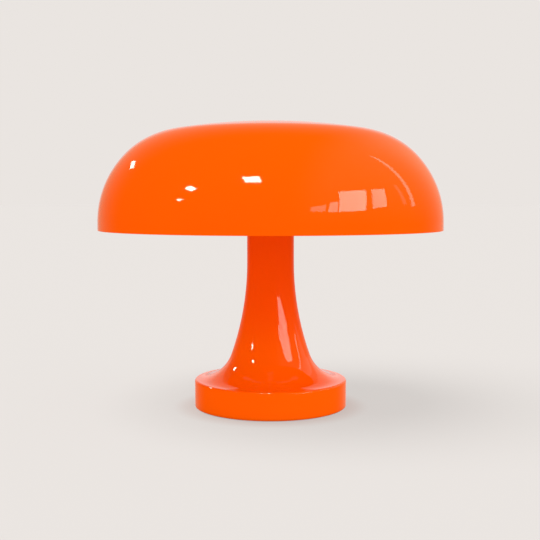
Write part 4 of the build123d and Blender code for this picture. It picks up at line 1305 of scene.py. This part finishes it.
# Each panel: the spot on the lamp where the photograph shows its highlight, the panel's corners as
# (azimuth, elevation) seen from that spot, and its share of the window level.
DOME_PANELS = {
    "skylight": (
        (-0.0143, -0.1513, 0.2105),
        ((-20.0, 44.8), (-6.9, 45.9), (-9.2, 52.4), (-24.9, 50.8)),
        4.5,
    ),
    "lantern": (
        (-0.0629, -0.1416, 0.2036),
        ((-64.8, 32.9), (-57.1, 31.0), (-54.3, 34.5), (-60.9, 36.3)),
        5.0,
    ),
    "slit": (
        (-0.0716, -0.1403, 0.1949),
        ((-65.6, 22.1), (-62.2, 21.0), (-59.8, 22.9), (-62.8, 23.7)),
        3.0,
    ),
    "far_window": (
        (-0.1161, -0.0859, 0.2243),
        ((-131.6, 25.3), (-129.0, 28.1), (-136.7, 28.3), (-139.9, 25.6)),
        0.6,
    ),
    "pane_wide": (
        (0.0642, -0.1432, 0.1937),
        ((43.4, 12.2), (63.1, 12.1), (70.4, 30.1), (48.6, 32.3)),
        0.9,
    ),
    "pane_right": (
        (0.0862, -0.1310, 0.1959),
        ((68.5, 13.4), (80.5, 13.7), (86.2, 28.0), (74.4, 29.8)),
        0.6,
    ),
    "pane_left": (
        (0.0482, -0.1504, 0.1917),
        ((36.2, 12.6), (42.7, 12.2), (46.0, 23.0), (39.0, 21.5)),
        0.6,
    ),
    "pane_small": (
        (0.0369, -0.1543, 0.1885),
        ((25.1, 13.6), (35.1, 13.2), (36.5, 20.5), (25.8, 18.6)),
        0.35,
    ),
    "tall_strip": (
        (0.1004, -0.1097, 0.2097),
        ((103.9, 10.2), (108.0, 9.9), (116.6, 45.2), (115.3, 49.3)),
        0.2,
    ),
    "short_strip": (
        (0.1059, -0.1145, 0.1989),
        ((96.4, 12.9), (99.6, 12.9), (99.8, 27.3), (97.1, 27.6)),
        0.08,
    ),
}
STEM_PANELS = {
    "stem_window_low": (
        (0.0136, -0.0297, 0.0634),
        ((28.1, 17.1), (32.6, 21.6), (42.4, 24.7), (57.6, 29.9), (69.3, 27.1), (67.4, 18.3), (63.3, 14.3)),
        0.7,
    ),
    "stem_window_high": (
        (0.0095, -0.0240, 0.0932),
        ((34.1, 16.2), (67.8, 13.2), (42.2, 7.2), (30.6, 7.3)),
        0.7,
    ),
    "stem_sliver": (
        (-0.0165, -0.0289, 0.0612),
        ((-63.8, 21.0), (-60.4, 21.4), (-60.8, 19.6), (-63.2, 19.2)),
        5.0,
    ),
    "stem_lantern": (
        (-0.0164, -0.0337, 0.0486),
        ((-60.6, 30.2), (-57.0, 33.4), (-53.4, 30.4), (-56.6, 27.6)),
        12.0,
    ),
    "stem_slit": (
        (-0.0329, -0.0267, 0.0400),
        ((-125.0, 32.4), (-121.0, 35.0), (-112.5, 31.5), (-117.3, 28.6)),
        2.5,
    ),
    "stem_strip": (
        (0.0242, -0.0266, 0.0563),
        ((95.6, 41.5), (100.8, 41.0), (97.8, 11.5), (94.2, 11.8)),
        0.4,
    ),
    "flare_glow": (
        (0.0300, -0.0300, 0.0450),
        ((104.0, 8.0), (135.0, 8.0), (135.0, 60.0), (104.0, 60.0)),
        0.04,
    ),
    "foot_skylight": (
        (-0.0080, -0.0716, 0.0252),
        ((-24.0, 47.0), (0.0, 47.0), (-2.0, 57.0), (-29.0, 56.0)),
        8.0,
    ),
    "foot_backdrop": (
        (0.0000, -0.0600, 0.0252),
        ((140.0, 4.0), (220.0, 4.0), (210.0, 32.0), (150.0, 32.0)),
        0.02,
    ),
}

FLOOR_SIZE = 40.0
# Distances from the axis between which the light the floor sends back goes from dark to lit under the foot:
# painted contact shade that darkens the foot's lower edge.
CONTACT_DARK = 0.0725
CONTACT_LIT = 0.0765
# Painted shadow: the floor beside the foot is painted a warmer, darker tone, standing in for its contact
# shadow and the orange light the foot throws on it; it fades out with distance.
FOOT_PAINTED_SHADOW = (0.91, 0.83, 0.81)
FOOT_SHADOW_START = 0.0716
FOOT_SHADOW_END = 0.095
GLOSS_TINT = (1.0, 0.9, 0.65, 1.0)
BEHIND = (0.35, 1.05)
BESIDE = (0.2, 0.6)
ABOVE = (0.0, 0.7)
LOW_SHARE = 0.05
STRAIGHT_BACK = (0.88, 0.99)
# Azimuth, elevation and spread of each soft light.
FLOOR_LIGHT = (-70, 66, 56)
KEY_LIGHT = (60, 45, 60)
SENSOR_WIDTH = 36.0


class LAMP_OT_stage(bpy.types.Operator):
    """Sets the camera, the pale floor, the even light and the windows that show in the gloss."""

    bl_idname = "lamp.build_stage"
    bl_label = "Studio"

    def floor_material(self, colours, studio):
        """The floor's finish: its shadow is light, because the even glow of the room fills most of it;
        beside the foot it carries a painted contact shadow, and under the foot's rim its bounce glow is
        painted dark.
        """
        material = bpy.data.materials.new("studio_floor")
        material.use_nodes = True
        tree = material.node_tree
        tree.nodes.clear()
        tint = (*colours.floor, 1.0)
        rays = add_node(tree, "ShaderNodeLightPath").outputs
        spot = add_node(tree, "ShaderNodeTexCoord").outputs["Object"]
        reach = add_node(tree, "ShaderNodeVectorMath", {0: spot}, operation="LENGTH").outputs["Value"]
        # Painted shade: the floor's bounce glow is cut to nothing under the foot's rim.
        clear = ramp(tree, reach, CONTACT_DARK, CONTACT_LIT, 0.0, studio.bounce_level, "LINEAR")
        bounce = add_node(tree, "ShaderNodeEmission", {"Color": tint, "Strength": clear})
        # Painted contact shadow: the floor's colour darkens and warms beside the foot.
        near = ramp(tree, reach, FOOT_SHADOW_START, FOOT_SHADOW_END, 1.0, 0.0)
        shaded = tuple(value * part for value, part in zip(colours.floor, FOOT_PAINTED_SHADOW))
        tone = mixed(tree, near, tint, (*shaded, 1.0))
        fill = add_node(tree, "ShaderNodeEmission", {"Color": tone, "Strength": 1.0 - studio.shadow_share})
        faint = dimmed(colours.floor, studio.floor_response)
        lit = add_node(tree, "ShaderNodeBsdfDiffuse", {"Color": (*faint, 1.0)})
        seen = add_node(tree, "ShaderNodeAddShader", {0: fill.outputs[0], 1: lit.outputs[0]})
        shaders = {0: rays["Is Camera Ray"], 1: bounce.outputs[0], 2: seen.outputs[0]}
        both = add_node(tree, "ShaderNodeMixShader", shaders)
        add_node(tree, "ShaderNodeOutputMaterial", {"Surface": both.outputs[0]})
        return material

    def floor(self, colours, studio):
        """The flat floor, which the gloss doesn't show."""
        shape = bmesh.new()
        bmesh.ops.create_grid(shape, x_segments=1, y_segments=1, size=FLOOR_SIZE)
        mesh = bpy.data.meshes.new("studio_floor")
        shape.to_mesh(mesh)
        shape.free()
        mesh.materials.append(self.floor_material(colours, studio))
        obj = bpy.data.objects.new("studio_floor", mesh)
        obj.visible_glossy = False
        bpy.context.scene.collection.objects.link(obj)
        return obj

    def sky(self, scene, colours, studio):
        """The room: the backdrop's colour to the camera, even light, and pale behind in the gloss."""
        world = bpy.data.worlds.new("studio_room")
        scene.world = world
        world.use_nodes = True
        tree = world.node_tree
        tree.nodes.clear()
        rays = add_node(tree, "ShaderNodeLightPath").outputs
        way = add_node(tree, "ShaderNodeTexCoord").outputs["Generated"]
        parts = add_node(tree, "ShaderNodeSeparateXYZ", {0: way}).outputs
        behind = ramp(tree, parts["Y"], *BEHIND, 0.0, studio.back_gloss)
        beside = ramp(tree, parts["X"], *BESIDE, 0.0, studio.side_gloss)
        above = ramp(tree, parts["Z"], *ABOVE, LOW_SHARE, 1.0, "LINEAR")
        room = maths(tree, "ADD", behind, maths(tree, "MULTIPLY", beside, above))
        room = maths(tree, "ADD", room, studio.front_gloss)
        even = add_node(tree, "ShaderNodeBackground", {"Color": (1, 1, 1, 1), "Strength": studio.sky_level})
        gloss = add_node(tree, "ShaderNodeBackground", {"Color": GLOSS_TINT, "Strength": room})
        view = add_node(tree, "ShaderNodeBackground", {"Color": (*colours.floor, 1.0), "Strength": 1.0})
        straight = ramp(tree, parts["Y"], *STRAIGHT_BACK, 0.0, 1.0)
        choices = (
            (straight, gloss, view),
            (rays["Is Glossy Ray"], even, None),
            (rays["Is Camera Ray"], None, view),
        )
        result = gloss
        for share, first, second in choices:
            shaders = {0: share, 1: (first or result).outputs[0], 2: (second or result).outputs[0]}
            result = add_node(tree, "ShaderNodeMixShader", shaders)
        add_node(tree, "ShaderNodeOutputWorld", {"Surface": result.outputs[0]})

    def sun(self, name, azimuth, elevation, spread, strength):
        """A soft distant light."""
        data = bpy.data.lights.new(name, "SUN")
        data.energy = strength
        data.angle = math.radians(spread)
        lamp = bpy.data.objects.new(name, data)
        lamp.rotation_euler = bearing_vector(azimuth, elevation).to_track_quat("Z", "Y").to_euler()
        lamp.visible_glossy = False
        bpy.context.scene.collection.objects.link(lamp)
        return lamp

    def camera(self, scene, studio):
        """The photograph's viewpoint."""
        data = bpy.data.cameras.new("view")
        data.lens = studio.camera_lens
        data.sensor_width = SENSOR_WIDTH
        camera = bpy.data.objects.new("view", data)
        camera.location = (-studio.camera_aside, -studio.camera_distance, studio.camera_height)
        camera.rotation_euler = (math.pi / 2 - studio.camera_pitch, 0.0, 0.0)
        scene.collection.objects.link(camera)
        scene.camera = camera

    def execute(self, context):
        scene = context.scene
        studio = scene.lamp_studio
        colours = scene.lamp_finish
        self.camera(scene, studio)
        scene.view_settings.view_transform = "Standard"
        floor = self.floor(colours, studio)
        self.sky(scene, colours, studio)
        floor_light = self.sun("floor_light", *FLOOR_LIGHT, studio.floor_light_level)
        receivers = bpy.data.collections.new("floor_only")
        receivers.objects.link(floor)
        floor_light.light_linking.receiver_collection = receivers
        self.sun("key_light", *KEY_LIGHT, studio.key_level)
        for panels, piece in ((DOME_PANELS, "shade_shell"), (STEM_PANELS, "stem_and_foot")):
            only = bpy.data.collections.new(f"seen_in_{piece}")
            only.objects.link(bpy.data.objects[piece])
            for name, (origin, corners, share) in panels.items():
                reflection_panel(name, origin, corners, studio.window_level * share, only)
        return {"FINISHED"}


# ------------------------------------------------------------------ panel and run


class LAMP_PT_sidebar(bpy.types.Panel):
    """Lists the lamp's steps and sizes in the 3D view's sidebar."""

    bl_idname = "LAMP_PT_sidebar"
    bl_label = "Mushroom Lamp"
    bl_space_type = "VIEW_3D"
    bl_region_type = "UI"
    bl_category = "Mushroom Lamp"

    def draw(self, context):
        for step in STEPS:
            self.layout.operator(step.bl_idname)
        for name in SETTINGS:
            settings = getattr(context.scene, name)
            box = self.layout.box()
            for key in settings.bl_rna.properties.keys():
                if key not in ("rna_type", "name"):
                    box.prop(settings, key)


STEPS = (
    LAMP_OT_shade,
    LAMP_OT_stem,
    LAMP_OT_underside,
    LAMP_OT_head,
    LAMP_OT_lampholders,
    LAMP_OT_bulbs,
    LAMP_OT_inner_parts,
    LAMP_OT_stage,
)


def register():
    for name, kind in SETTINGS.items():
        bpy.utils.register_class(kind)
        setattr(bpy.types.Scene, name, PointerProperty(type=kind))
    for kind in STEPS:
        bpy.utils.register_class(kind)
    bpy.utils.register_class(LAMP_PT_sidebar)


def unregister():
    bpy.utils.unregister_class(LAMP_PT_sidebar)
    for kind in reversed(STEPS):
        bpy.utils.unregister_class(kind)
    for name, kind in SETTINGS.items():
        delattr(bpy.types.Scene, name)
        bpy.utils.unregister_class(kind)


def main():
    register()
    for step in STEPS:
        group, name = step.bl_idname.split(".")
        getattr(getattr(bpy.ops, group), name)()


if __name__ == "__main__":
    main()
